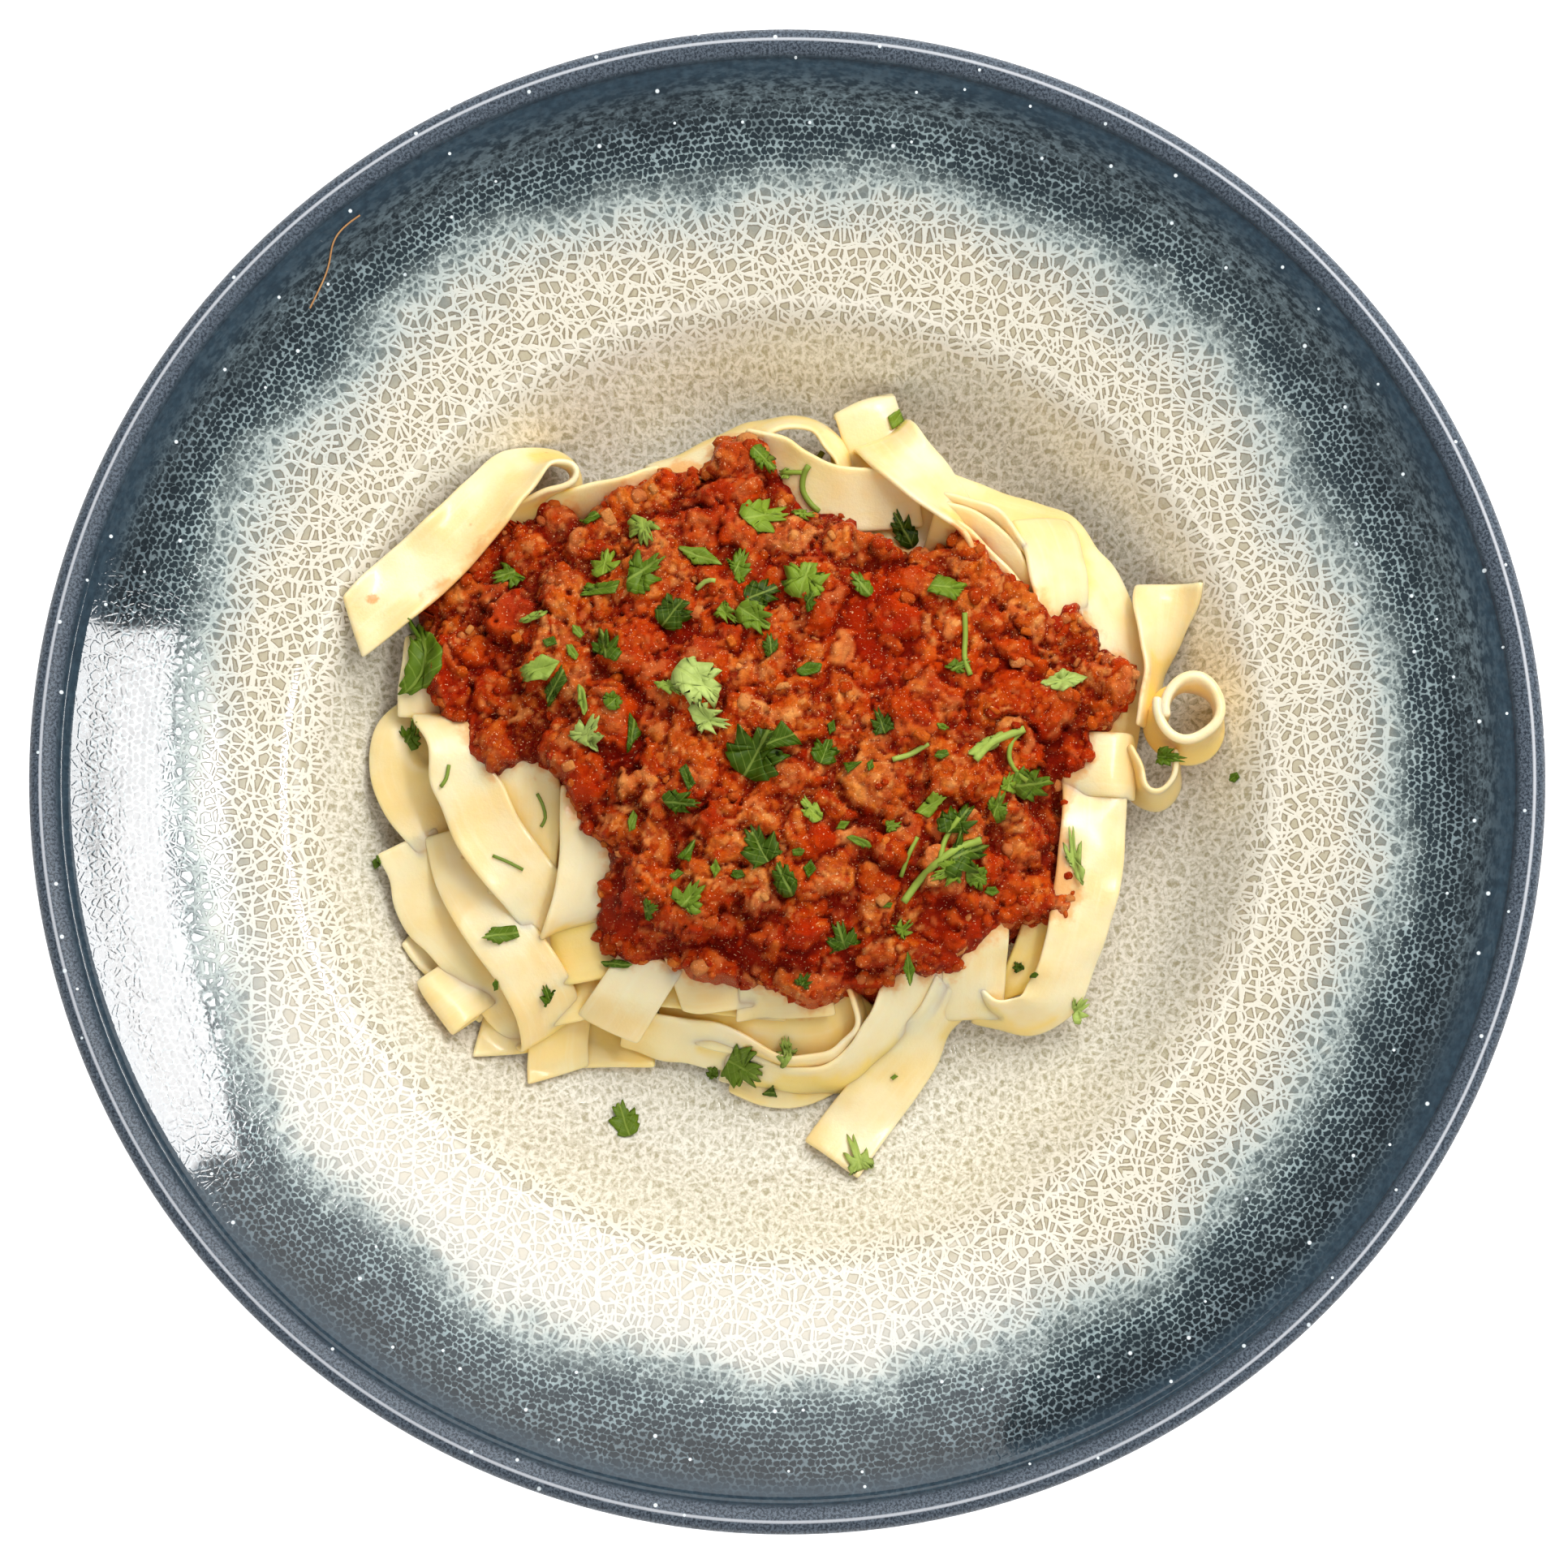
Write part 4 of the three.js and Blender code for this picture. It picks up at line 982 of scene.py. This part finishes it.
def sauce_finish(name, roughness):
    finish = Finish(name)
    place = finish.node("ShaderNodeTexCoord").outputs["Object"]
    painted = finish.node("ShaderNodeAttribute", attribute_name="sauce_colour")
    tint = painted.outputs["Color"]
    meaty_share = painted.outputs["Alpha"]
    fine = finish.noise(place, 1300.0, 4.0, 0.75)
    cloudy = finish.noise(place, 260.0, 3.0, 0.6)
    tint = finish.mix(finish.between(cloudy, 0.35, 0.7, 0.0, 0.45), tint, srgb(160, 21, 0))
    meat_share = finish.times(finish.between(fine, 0.50, 0.72, 0.0, 0.42), meaty_share)
    tint = finish.mix(meat_share, tint, srgb(236, 138, 58))
    tint = finish.mix(finish.between(fine, 0.46, 0.30, 0.0, 0.35), tint, srgb(124, 14, 0))
    glint = finish.between(finish.noise(place, 2100.0, 2.0, 0.6), 0.65, 0.69)
    tint = finish.mix(finish.times(glint, 0.7), tint, srgb(255, 206, 154))
    wetness = finish.between(fine, 0.3, 0.7, roughness, roughness + 0.12)
    finish.set(Base_Color=tint, Roughness=wetness, IOR=1.2)
    finish.bump(finish.plus(fine, finish.times(cloudy, 0.5)), 0.0008, 0.9)
    return finish


sauce = sauce_finish("tomato_and_mince", 0.12)
bed = make_piece("bolognese_bed", bed_shape, sauce.material)
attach(bed, "root")
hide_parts("bolognese_sauce")

# Loose mince: crumbs of fried beef that sit proud of the bed, thickest along its ragged edge, and
# lumps that cling to its steep sides. The sauce holds them where they lie.
LOOSE_CRUMBS = 180
WALL_CRUMBS = 500
STEEP = 3.2
bed_tree = surface_trees([bed])
crumb_shape = bmesh.new()
crumb_colour = crumb_shape.verts.layers.float_color.new("sauce_colour")
draw = random.Random(77)
edge_places = np.argwhere((ragged_edge > -0.3) & (ragged_edge < 1.6))
open_places = np.argwhere(ragged_edge > 1.6)
drop_x, drop_y = np.gradient(height, SAUCE_CELL)
drop = np.hypot(drop_x, drop_y)
wall_places = np.argwhere((drop > STEEP) & (np.abs(inside) < BED_MARGIN))
for number in range(LOOSE_CRUMBS + WALL_CRUMBS):
    on_wall = number >= LOOSE_CRUMBS
    places = wall_places if on_wall else edge_places if number % 5 < 2 else open_places
    i, j = places[draw.randrange(len(places))]
    if not on_wall and draw.random() < 0.8 * smoothness[i, j]:
        continue
    x, y = grid_x[i] + draw.uniform(-0.2, 0.2), grid_y[j] + draw.uniform(-0.2, 0.2)
    if on_wall:
        size = draw.uniform(0.7, 1.5)
        x += 0.7 * size * drop_x[i, j] / drop[i, j]
        y += 0.7 * size * drop_y[i, j] / drop[i, j]
        z = height[i, j] + draw.uniform(-0.5, 0.5) * drop[i, j] * SAUCE_CELL
        brow = height[max(0, i - 5):i + 6, max(0, j - 5):j + 6].max()
        lowest = max(under[i, j] - 0.3, float(floor_height(x, y)) + size)
        if z > brow - size - 1.4 or z < lowest:
            continue
    else:
        size = draw.uniform(0.6, 1.35)
        z = max(height_above(bed_tree, x, y, 0.0), height_above(pasta_tree, x, y, 0.0) - 0.2)
    crumb = bmesh.ops.create_icosphere(crumb_shape, subdivisions=2, radius=1.0)["verts"]
    stretch = Vector((draw.uniform(0.75, 1.35), draw.uniform(0.75, 1.25), draw.uniform(0.6, 0.95))) * size
    turn = draw.uniform(0, 2 * math.pi)
    knobs = []
    for _ in range(7):
        way = Vector((draw.gauss(0, 1), draw.gauss(0, 1), draw.gauss(0, 1))).normalized()
        knobs.append((way, draw.uniform(-0.25, 0.38)))
    shade = MEAT[draw.randrange(len(MEAT))] * draw.uniform(0.8, 1.12)
    red = draw.uniform(0.25, 0.75)
    shade = shade * (1 - red) + colour_red * red
    for vert in crumb:
        swellings = sum(amount * max(0.0, vert.co.dot(way)) ** 3 for way, amount in knobs)
        swellings += draw.uniform(-0.16, 0.16)
        spot = Vector((vert.co.x * stretch.x, vert.co.y * stretch.y, vert.co.z * stretch.z)) * (1 + swellings)
        vert.co = (
            (x + spot.x * math.cos(turn) - spot.y * math.sin(turn)) * MM,
            (y + spot.x * math.sin(turn) + spot.y * math.cos(turn)) * MM,
            (z + spot.z - size * 0.15) * MM,
        )
        vert[crumb_colour] = (*shade, 1.0)
crumb_finish = sauce_finish("mince", 0.15)
crumbs = make_piece("mince_crumbs", crumb_shape, crumb_finish.material)
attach(crumbs, "root")

# Diced vegetables: small squared pieces of carrot and onion, cut by hand and cooked soft in the
# sauce, which covers most of each. The list gives x, y, length and kind.
DICE_COLOUR = {"carrot": srgb(212, 104, 26), "onion": srgb(214, 140, 72)}
DICED = [
    (-32, 48, 4.2, "onion"), (-48, 26, 3.4, "carrot"), (24, 7, 4.0, "carrot"), (17, -22, 3.2, "onion"),
    (-1, 16, 3.4, "onion"), (43, 27, 3.2, "carrot"), (-10, 24, 2.8, "carrot"), (-16.5, 36, 2.2, "onion"),
    (29, 44, 2.2, "carrot"), (-46, 3, 2.6, "onion"), (52, 22, 2.4, "onion"), (-24, 53, 2.4, "onion"),
    (37, 12, 2.6, "carrot"), (-57, 28, 2.4, "onion"), (8, 44, 2.6, "onion"), (-4, -22, 2.2, "onion"),
    (26, -19, 3.0, "onion"), (-39, 2, 3.0, "onion"),
]
dice_shape = bmesh.new()
dice_colour = dice_shape.verts.layers.float_color.new("sauce_colour")
for x, y, size, kind in DICED:
    block = bmesh.ops.create_cube(dice_shape, size=1.0)["verts"]
    turn = draw.uniform(0, math.pi)
    z = height_above(bed_tree, x, y, 20.0)
    shade = DICE_COLOUR[kind]
    long, wide, thick = size * 0.4, size * draw.uniform(0.2, 0.34), size * 0.25
    tilt = draw.uniform(-0.25, 0.25)
    for vert in block:
        u = vert.co.x * 2 * long * draw.uniform(0.8, 1.1)
        v = vert.co.y * 2 * wide * draw.uniform(0.75, 1.1)
        w = vert.co.z * 2 * thick
        vert.co = ((x + u * math.cos(turn) - v * math.sin(turn)) * MM,
                   (y + u * math.sin(turn) + v * math.cos(turn)) * MM,
                   (z + 0.15 + w + tilt * u) * MM)
        vert[dice_colour] = shade
dice = make_piece("diced_vegetables", dice_shape, crumb_finish.material)
rounded = dice.modifiers.new("rounded", "BEVEL")
rounded.width = 0.4 * MM
rounded.segments = 2
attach(dice, "root")

# Parsley: flat-leaf parsley, chopped by hand, so some pieces are whole toothed leaflets, some are
# cut across, and some are bare stem. It is strewn last and lies where it fell.
parsley = Finish("flat_leaf_parsley")
leaf_uv = parsley.node("ShaderNodeUVMap", uv_map="leaf").outputs["UV"]
leaf_axes = parsley.node("ShaderNodeSeparateXYZ", {0: leaf_uv})
off_rib = parsley.work("ABSOLUTE", leaf_axes.outputs[1])
rib = parsley.between(off_rib, 0.035, 0.012)
vein_run = parsley.times(parsley.minus(leaf_axes.outputs[0], parsley.times(off_rib, 0.9)), 6.0)
vein_reach = parsley.work("ABSOLUTE", parsley.minus(parsley.work("FRACT", vein_run), 0.5))
vein = parsley.between(vein_reach, 0.10, 0.03)
vein = parsley.work("MAXIMUM", rib, parsley.times(vein, 0.55))
leaf_place = parsley.node("ShaderNodeTexCoord").outputs["Object"]
leaf_cloud = parsley.noise(leaf_place, 420.0, 3.0, 0.6)
leaf_tone = parsley.node("ShaderNodeAttribute", attribute_name="tone").outputs["Fac"]
leaf_colour = parsley.ramp(leaf_tone, [
    (0.0, srgb(10, 24, 0)), (0.35, srgb(68, 96, 4)), (0.65, srgb(128, 152, 42)), (1.0, srgb(192, 208, 122)),
])
leaf_colour = parsley.mix(parsley.between(leaf_cloud, 0.3, 0.7, 0.0, 0.30), leaf_colour, srgb(66, 88, 6))
leaf_colour = parsley.mix(parsley.times(vein, 0.35), leaf_colour, srgb(166, 184, 84))
parsley.set(Base_Color=leaf_colour, Roughness=parsley.between(leaf_cloud, 0.3, 0.7, 0.34, 0.52), IOR=1.32)
parsley.bump(parsley.minus(leaf_cloud, parsley.times(vein, 0.6)), 0.0002, 0.6)

# x, y, length, width as a share of length, bearing, kind, tone from dark to light.
LEAVES = [
    (-66, 24, 15, 0.50, 80, "crescent", 0.42), (-51, 40, 7, 0.8, 200, "leaf", 0.42),
    (-36, 50, 4.5, 0.6, 20, "cut", 0.35), (-26, 47, 8, 0.7, 280, "leaf", 0.72),
    (-26, 39, 10, 0.75, 35, "leaf", 0.42), (-33, 41, 6.5, 0.8, 80, "leaf", 0.62),
    (-34, 36, 9, 0.36, 5, "cut", 0.42), (-46, 31, 5.5, 0.28, 15, "strip", 0.72),
    (-16, 42, 9, 0.40, -20, "cut", 0.5), (-9, 40, 8, 0.62, 70, "leaf", 0.45),
    (-20, 32, 9, 0.7, 50, "leaf", 0.18), (-45, 21, 9, 0.6, 20, "cut", 0.72),
    (-42, 18, 8, 0.42, 60, "cut", 0.2), (-33, 25, 8, 0.7, 100, "leaf", 0.3),
    (-38, 28, 3.4, 0.6, 130, "cut", 0.5), (-39, 24, 4.2, 0.5, 120, "cut", 0.5),
    (-43, 26, 3.2, 0.7, 10, "cut", 0.3), (-36, 9, 8.5, 0.72, 60, "leaf", 0.85),
    (-37, 15, 6.0, 0.26, 100, "strip", 0.7), (-31, 15, 5, 0.7, 40, "leaf", 0.4),
    (-28, 9, 6, 0.38, 85, "cut", 0.25), (-15, 17, 13, 0.62, -35, "leaf", 0.90),
    (-21, 17, 7, 0.4, -30, "leaf", 0.7), (-14, 11, 9.5, 0.55, -15, "leaf", 0.88),
    (-5, 6, 12, 0.92, 60, "leaf", 0.22), (-1, 7.5, 6, 0.7, 20, "cut", 0.3),
    (-18, 0.5, 6, 0.42, 110, "cut", 0.2), (-19, -4, 8, 0.5, -5, "leaf", 0.28),
    (-28, -7, 5, 0.4, 80, "cut", 0.5), (-18, -13, 4.2, 0.5, 60, "cut", 0.35),
    (-13, -16, 3.4, 0.6, 90, "cut", 0.6), (-20, -17, 3, 0.6, 30, "cut", 0.4),
    (-9, -17, 3.2, 0.7, 0, "cut", 0.3), (-18, -21.5, 9.5, 0.66, 50, "leaf", 0.5),
    (-25, -23, 4.2, 0.8, 10, "leaf", 0.4), (-5, -12, 10, 0.7, 120, "leaf", 0.22),
    (-1, -17, 9, 0.42, 115, "leaf", 0.28), (4, -5, 6.5, 0.5, 125, "leaf", 0.68),
    (4, -16, 3.6, 0.7, 80, "cut", 0.3), (2, -13, 3, 0.6, 0, "cut", 0.4), (10, -8, 3, 0.6, 30, "cut", 0.5),
    (13, -11, 5, 0.3, 160, "strip", 0.5), (19, -8, 3.8, 0.6, 10, "leaf", 0.5),
    (26, -4, 7, 0.5, 40, "cut", 0.62), (31, -7, 9, 0.7, 50, "leaf", 0.2),
    (32, -13, 11, 0.7, 25, "leaf", 0.25), (29, -16.5, 8, 0.6, 200, "leaf", 0.6),
    (35, -17, 6, 0.7, -20, "leaf", 0.45), (38, -4, 6, 0.7, 70, "leaf", 0.45),
    (37, -19, 3.2, 0.7, 0, "cut", 0.4), (21, -26, 5, 0.7, 40, "leaf", 0.62),
    (18, -22, 2.2, 0.6, 0, "cut", 0.4), (10, -28, 8, 0.75, 110, "leaf", 0.28),
    (22, -33, 6, 0.36, 95, "cut", 0.4), (3, -35.5, 4.4, 0.7, 60, "leaf", 0.22),
    (17, 11, 6.5, 0.62, 110, "leaf", 0.18), (7, 6, 6.5, 0.75, 70, "leaf", 0.3),
    (8, 10, 3, 0.6, 80, "cut", 0.3), (11.5, 2.5, 3, 0.6, 20, "cut", 0.3),
    (15, 2.5, 2.4, 0.6, 80, "cut", 0.35), (28, 5, 3.4, 0.6, 10, "cut", 0.35),
    (28, 10, 2.6, 0.6, -20, "cut", 0.5), (36, 7, 8, 0.3, 35, "strip", 0.75),
    (45, 1, 9, 0.62, 15, "leaf", 0.4), (40, 0, 5, 0.55, 80, "leaf", 0.55),
    (50, 19.5, 9, 0.52, 12, "cut", 0.85), (31, 21.5, 6, 0.5, 25, "leaf", 0.42),
    (29, 36, 8, 0.66, -5, "cut", 0.5), (13, 37, 7, 0.4, 130, "leaf", 0.45),
    (3.5, 38, 9.5, 0.85, 75, "leaf", 0.6), (4, 33, 4.5, 0.6, 60, "leaf", 0.3),
    (-4, 35, 8.5, 0.62, 25, "leaf", 0.12), (-5, 29.5, 10, 0.5, -35, "leaf", 0.5),
    (-11, 31, 7, 0.45, -40, "leaf", 0.55), (-3, 25, 5, 0.6, 100, "leaf", 0.25),
    (4, 20.5, 5, 0.5, 15, "strip", 0.35), (-4, 49.5, 10, 0.72, 10, "leaf", 0.62),
    (3, 50, 5, 0.5, 10, "leaf", 0.55), (-4, 60, 7, 0.5, -45, "leaf", 0.45),
    (0, 58.5, 4, 0.5, 10, "leaf", 0.7), (21, 49, 8.5, 0.5, 120, "leaf", 0.14),
    (20, 69.5, 4.4, 0.7, 60, "cut", 0.55), (69, 6, 8, 0.42, -10, "leaf", 0.42),
    (81.5, 3, 2.6, 0.8, 50, "cut", 0.3), (52, -12, 13, 0.28, 95, "leaf", 0.8),
    (53, -39, 6, 0.75, 45, "leaf", 0.82), (13, -66, 11.5, 0.42, 110, "leaf", 0.8),
    (0, -47, 7, 0.55, 100, "leaf", 0.75), (-8, -49.5, 9, 0.78, -30, "leaf", 0.45),
    (-14, -50, 3, 0.7, 190, "leaf", 0.4), (-3, -53.5, 2.4, 0.7, 0, "cut", 0.25),
    (-30, -58, 8, 0.66, 110, "leaf", 0.45), (42, -31.5, 2.6, 0.8, 120, "leaf", 0.2),
    (45, -33.5, 1.8, 0.7, 20, "cut", 0.25), (-31, -31.5, 6, 0.26, -8, "strip", 0.35),
    (-43.5, -37, 5, 0.6, 110, "leaf", 0.35), (-53, -35, 2.6, 0.5, 90, "cut", 0.35),
    (-52, -26, 8.5, 0.46, 8, "cut", 0.42), (-69, 11, 6, 0.8, 70, "leaf", 0.4),
    (-75, -12, 2.4, 0.8, 80, "cut", 0.4), (19.5, -51, 1.6, 0.6, 20, "cut", 0.5),
]


LIE_REACH = 1.6
STEEPEST_LIE = 0.7
WELL_LEVEL = 8.0


def lie(tree, x, y):
    """Height and slopes of the food's surface at a place, averaged over a small patch."""
    around = ((0, 0), (LIE_REACH, 0), (-LIE_REACH, 0), (0, LIE_REACH), (0, -LIE_REACH))
    heights = [height_above(tree, x + dx, y + dy, WELL_LEVEL) for dx, dy in around]
    slopes = (heights[1] - heights[2]) / (2 * LIE_REACH), (heights[3] - heights[4]) / (2 * LIE_REACH)
    return heights[0], *(max(-STEEPEST_LIE, min(STEEPEST_LIE, slope)) for slope in slopes)


food_tree = surface_trees(pasta_pieces + [bed, crumbs, plate])
LEAF_SHRINK = 0.93


def lay_leaf(shape, x, y, length, share, bearing, kind, tone):
    """Cuts one piece of leaf from a disc and lets it down on the food."""
    vert_count, edge_count = len(shape.verts), len(shape.edges)
    bmesh.ops.create_circle(shape, cap_ends=True, cap_tris=True, segments=60, radius=1.0)
    shape.edges.ensure_lookup_table()
    spokes = [edge for edge in shape.edges[edge_count:] if min(v.co.length for v in edge.verts) < 0.01]
    bmesh.ops.subdivide_edges(shape, edges=spokes, cuts=2)
    shape.verts.ensure_lookup_table()
    verts = shape.verts[vert_count:]
    tone_layer = shape.verts.layers.float["tone"]
    uv_layer = shape.loops.layers.uv["leaf"]
    phase = draw.uniform(0, 2 * math.pi)
    notch_depth = draw.uniform(0.32, 0.58)
    notch_at = math.radians(draw.uniform(20, 30))
    tooth_pitch = math.radians(draw.uniform(10, 15))
    curl = draw.uniform(-0.15, 0.35)
    cup = draw.uniform(-0.2, 0.85)
    twist = draw.uniform(-0.5, 0.5)
    corners = draw.choice((3, 4, 4, 5))
    corner_turn = draw.uniform(0, 2 * math.pi)
    cut_at = draw.uniform(0.32, 0.95)
    cut_turn = draw.choice((math.pi, math.pi + 0.5, math.pi - 0.6, 0.2))
    turn = math.radians(bearing)
    length *= LEAF_SHRINK
    # The outline, with its notches and teeth, then the cup, the curl and the twist.
    places = {}
    for vert in verts:
        reach = min(1.0, vert.co.length)
        angle = math.atan2(vert.co.y, vert.co.x)
        tooth = abs(((angle / 2 + phase) / tooth_pitch) % 1 - 0.5) * 2
        if kind == "leaf":
            fan = angle / 2
            stretch = 2 * abs(math.cos(fan)) ** 0.55
            stretch *= 1 - notch_depth * math.exp(-(((abs(fan) - notch_at) / 0.12) ** 2)) - 0.24 * tooth
            stretch *= 1 - 0.35 * math.exp(-(((abs(fan) - 2.2 * notch_at) / 0.10) ** 2))
            u = reach * (-1 + stretch * math.cos(fan))
            v = reach * stretch * math.sin(fan)
        else:
            outline = 1.0 + 0.06 * math.sin(angle * 5)
            if kind == "cut":
                sector = 2 * math.pi / corners
                part = ((angle + corner_turn) % sector) - sector / 2
                outline = 0.78 / math.cos(part) - 0.14 * tooth * (math.cos(angle + phase) > 0.2)
            elif kind == "crescent":
                outline = 1.0 - 0.14 * tooth
            u = reach * outline * math.cos(angle)
            v = reach * outline * math.sin(angle)
        past_cut = u * math.cos(cut_turn) + v * math.sin(cut_turn) - cut_at * 0.8
        if kind == "leaf" and past_cut > 0:
            u -= past_cut * math.cos(cut_turn)
            v -= past_cut * math.sin(cut_turn)
        px, py = u * length / 2, v * length / 2 * share
        if kind == "crescent":
            py += 3.4 * u * u
        pz = length / 2 * (cup * abs(v) * share + curl * u * u + twist * 0.5 * u * v * share)
        pz += length * 0.03 * math.sin(4.0 * u + phase) * math.sin(4.5 * v - phase)
        places[vert] = (px, py, pz, u, v)
    # The leaf is turned, tilted with the food and let down until most of it rests; where it would
    # bridge a drop it stays up, and elsewhere it sags towards what is below.
    x, y = on_plate(x, y)
    ground, slope_x, slope_y = lie(food_tree, x, y)
    lifts = []
    for vert, (px, py, pz, u, v) in places.items():
        wx = x + px * math.cos(turn) - py * math.sin(turn)
        wy = y + px * math.sin(turn) + py * math.cos(turn)
        tilted = ground + 0.6 * (slope_x * (wx - x) + slope_y * (wy - y))
        below = height_above(food_tree, wx, wy, WELL_LEVEL)
        lifts.append(below - (tilted + pz))
        vert.co = (wx * MM, wy * MM, (tilted + pz) * MM)
        vert[tone_layer] = tone
        for loop in vert.link_loops:
            loop[uv_layer].uv = (u * 0.5, v * 0.5 * share)
    bridges = np.percentile(lifts, 96) - np.percentile(lifts, 50) > 4.0
    lift = np.percentile(lifts, 96) + 0.1 if bridges else np.percentile(lifts, 78) + 0.25
    for vert in places:
        below = height_above(food_tree, vert.co.x / MM, vert.co.y / MM, WELL_LEVEL) + 0.2
        z = vert.co.z / MM + lift
        if z > below + 1.6 and not bridges:
            z += 0.55 * (below - z)
        else:
            z = max(z, below - 0.05)
        vert.co.z = z * MM


def herb_piece(name, build):
    shape = bmesh.new()
    shape.verts.layers.float.new("tone")
    shape.loops.layers.uv.new("leaf")
    build(shape)
    piece = make_piece(name, shape, parsley.material)
    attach(piece, "root")
    return piece


def strew_leaves(shape):
    for leaf in LEAVES:
        lay_leaf(shape, *leaf)


leaves = herb_piece("parsley_leaves", strew_leaves)
blade = leaves.modifiers.new("blade", "SOLIDIFY")
blade.thickness = 0.28 * MM
blade.offset = 1.0

# Parsley stems: thin round stalks that were chopped with the leaves, some still curved. They lie
# loose on the sauce and the pasta. The list gives each one's course, half its thickness and tone.
STEMS = [
    ([(6.5, 63.5), (5, 61), (3.2, 58.5), (2.8, 55.5), (4.2, 53), (5.8, 51.5)], 0.55, 0.45),
    ([(-1, 58.8), (1.5, 58.6), (3.2, 58.5)], 0.45, 0.6),
    ([(32.2, 31.5), (32.3, 27.5), (32.2, 23), (33.2, 20)], 0.5, 0.6),
    ([(19, 4), (22, 5), (25.5, 7)], 0.5, 0.75),
    ([(34, 4), (37, 7.5), (40, 9), (43, 10.3)], 0.7, 0.75),
    ([(43, 10.3), (40.8, 8), (40.2, 5), (41.5, 2.5), (43.5, 1)], 0.45, 0.6),
    ([(21, -21.5), (24, -17.5), (27.5, -14.5), (31, -12), (35, -10.5)], 0.7, 0.68),
    ([(27.5, -14.5), (28.5, -10.5), (31, -6.5)], 0.5, 0.6),
    ([(20.5, -17), (22, -13), (23.5, -10)], 0.4, 0.6),
    ([(-45.5, -0.5), (-44.5, -2.5), (-44, -5), (-44.8, -6.5)], 0.3, 0.35),
    ([(-53.5, -12), (-51, -13), (-48, -14.5)], 0.3, 0.35),
    ([(-61.5, 4.5), (-62, 2), (-63, 0.5)], 0.35, 0.45),
    ([(-13, 36.8), (-14.5, 37), (-16.5, 35.5)], 0.45, 0.8),
]


def lay_stems(shape):
    tone_layer = shape.verts.layers.float["tone"]
    for points, radius_mm, tone in STEMS:
        line = curve_through([(*on_plate(x, y), 0.0) for x, y in points], 0.9)
        rows = len(line) - 1
        made = bmesh.ops.create_grid(shape, x_segments=rows, y_segments=8, size=1.0)["verts"]
        heights = [height_above(food_tree, x, y, WELL_LEVEL) for x, y, _ in line]
        level = np.convolve(np.pad(heights, 2, mode="edge"), np.ones(5) / 5, mode="valid") + radius_mm * 0.9
        way = np.gradient(line[:, :2], axis=0)
        way /= np.linalg.norm(way, axis=1)[:, None]
        for vert in made:
            i = int(round((vert.co.x + 1) / 2 * rows))
            angle = (vert.co.y + 1) * math.pi
            side = radius_mm * math.cos(angle)
            vert.co = ((line[i, 0] - way[i, 1] * side) * MM, (line[i, 1] + way[i, 0] * side) * MM,
                       (level[i] + radius_mm * math.sin(angle)) * MM)
            vert[tone_layer] = tone
    bmesh.ops.remove_doubles(shape, verts=shape.verts[:], dist=0.00002)
    bmesh.ops.holes_fill(shape, edges=[edge for edge in shape.edges if edge.is_boundary], sides=10)
    bmesh.ops.recalc_face_normals(shape, faces=shape.faces[:])


stems = herb_piece("parsley_stems", lay_stems)

# Stray fibre: one thin dry strand, orange-brown, that has dropped on the upper left of the rim. It
# is loose, and touches the glaze here and there.
FIBRE_RADIUS = 0.16 * MM
fibre_curve = bpy.data.curves.new("fibre", "CURVE")
fibre_curve.dimensions = "3D"
fibre_curve.bevel_depth = FIBRE_RADIUS
fibre_curve.bevel_resolution = 2
fibre_curve.resolution_u = 8
strand = fibre_curve.splines.new("NURBS")
FIBRE = [(-85.5, 84.5), (-84, 87.5), (-82.5, 90.5), (-81.8, 93.5), (-81.5, 96.5), (-79.5, 99), (-76.5, 101)]
strand.points.add(len(FIBRE) - 1)
for point, (x, y) in zip(strand.points, FIBRE):
    lifted = float(floor_height(x, y)) + 0.35 + 0.5 * abs(math.sin(x))
    point.co = (x * MM, y * MM, lifted * MM, 1.0)
strand.use_endpoint_u = True
fibre = bpy.data.objects.new("fibre", fibre_curve)
scene.collection.objects.link(fibre)
fibre_finish = Finish("dry_fibre")
fibre_place = fibre_finish.node("ShaderNodeTexCoord").outputs["Object"]
fibre_tone = fibre_finish.noise(fibre_place, 300.0)
fibre_colour = fibre_finish.mix(fibre_tone, srgb(150, 92, 50), srgb(206, 160, 104))
fibre_finish.set(Base_Color=fibre_colour, Roughness=0.6)
fibre_curve.materials.append(fibre_finish.material)
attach(fibre, "root")
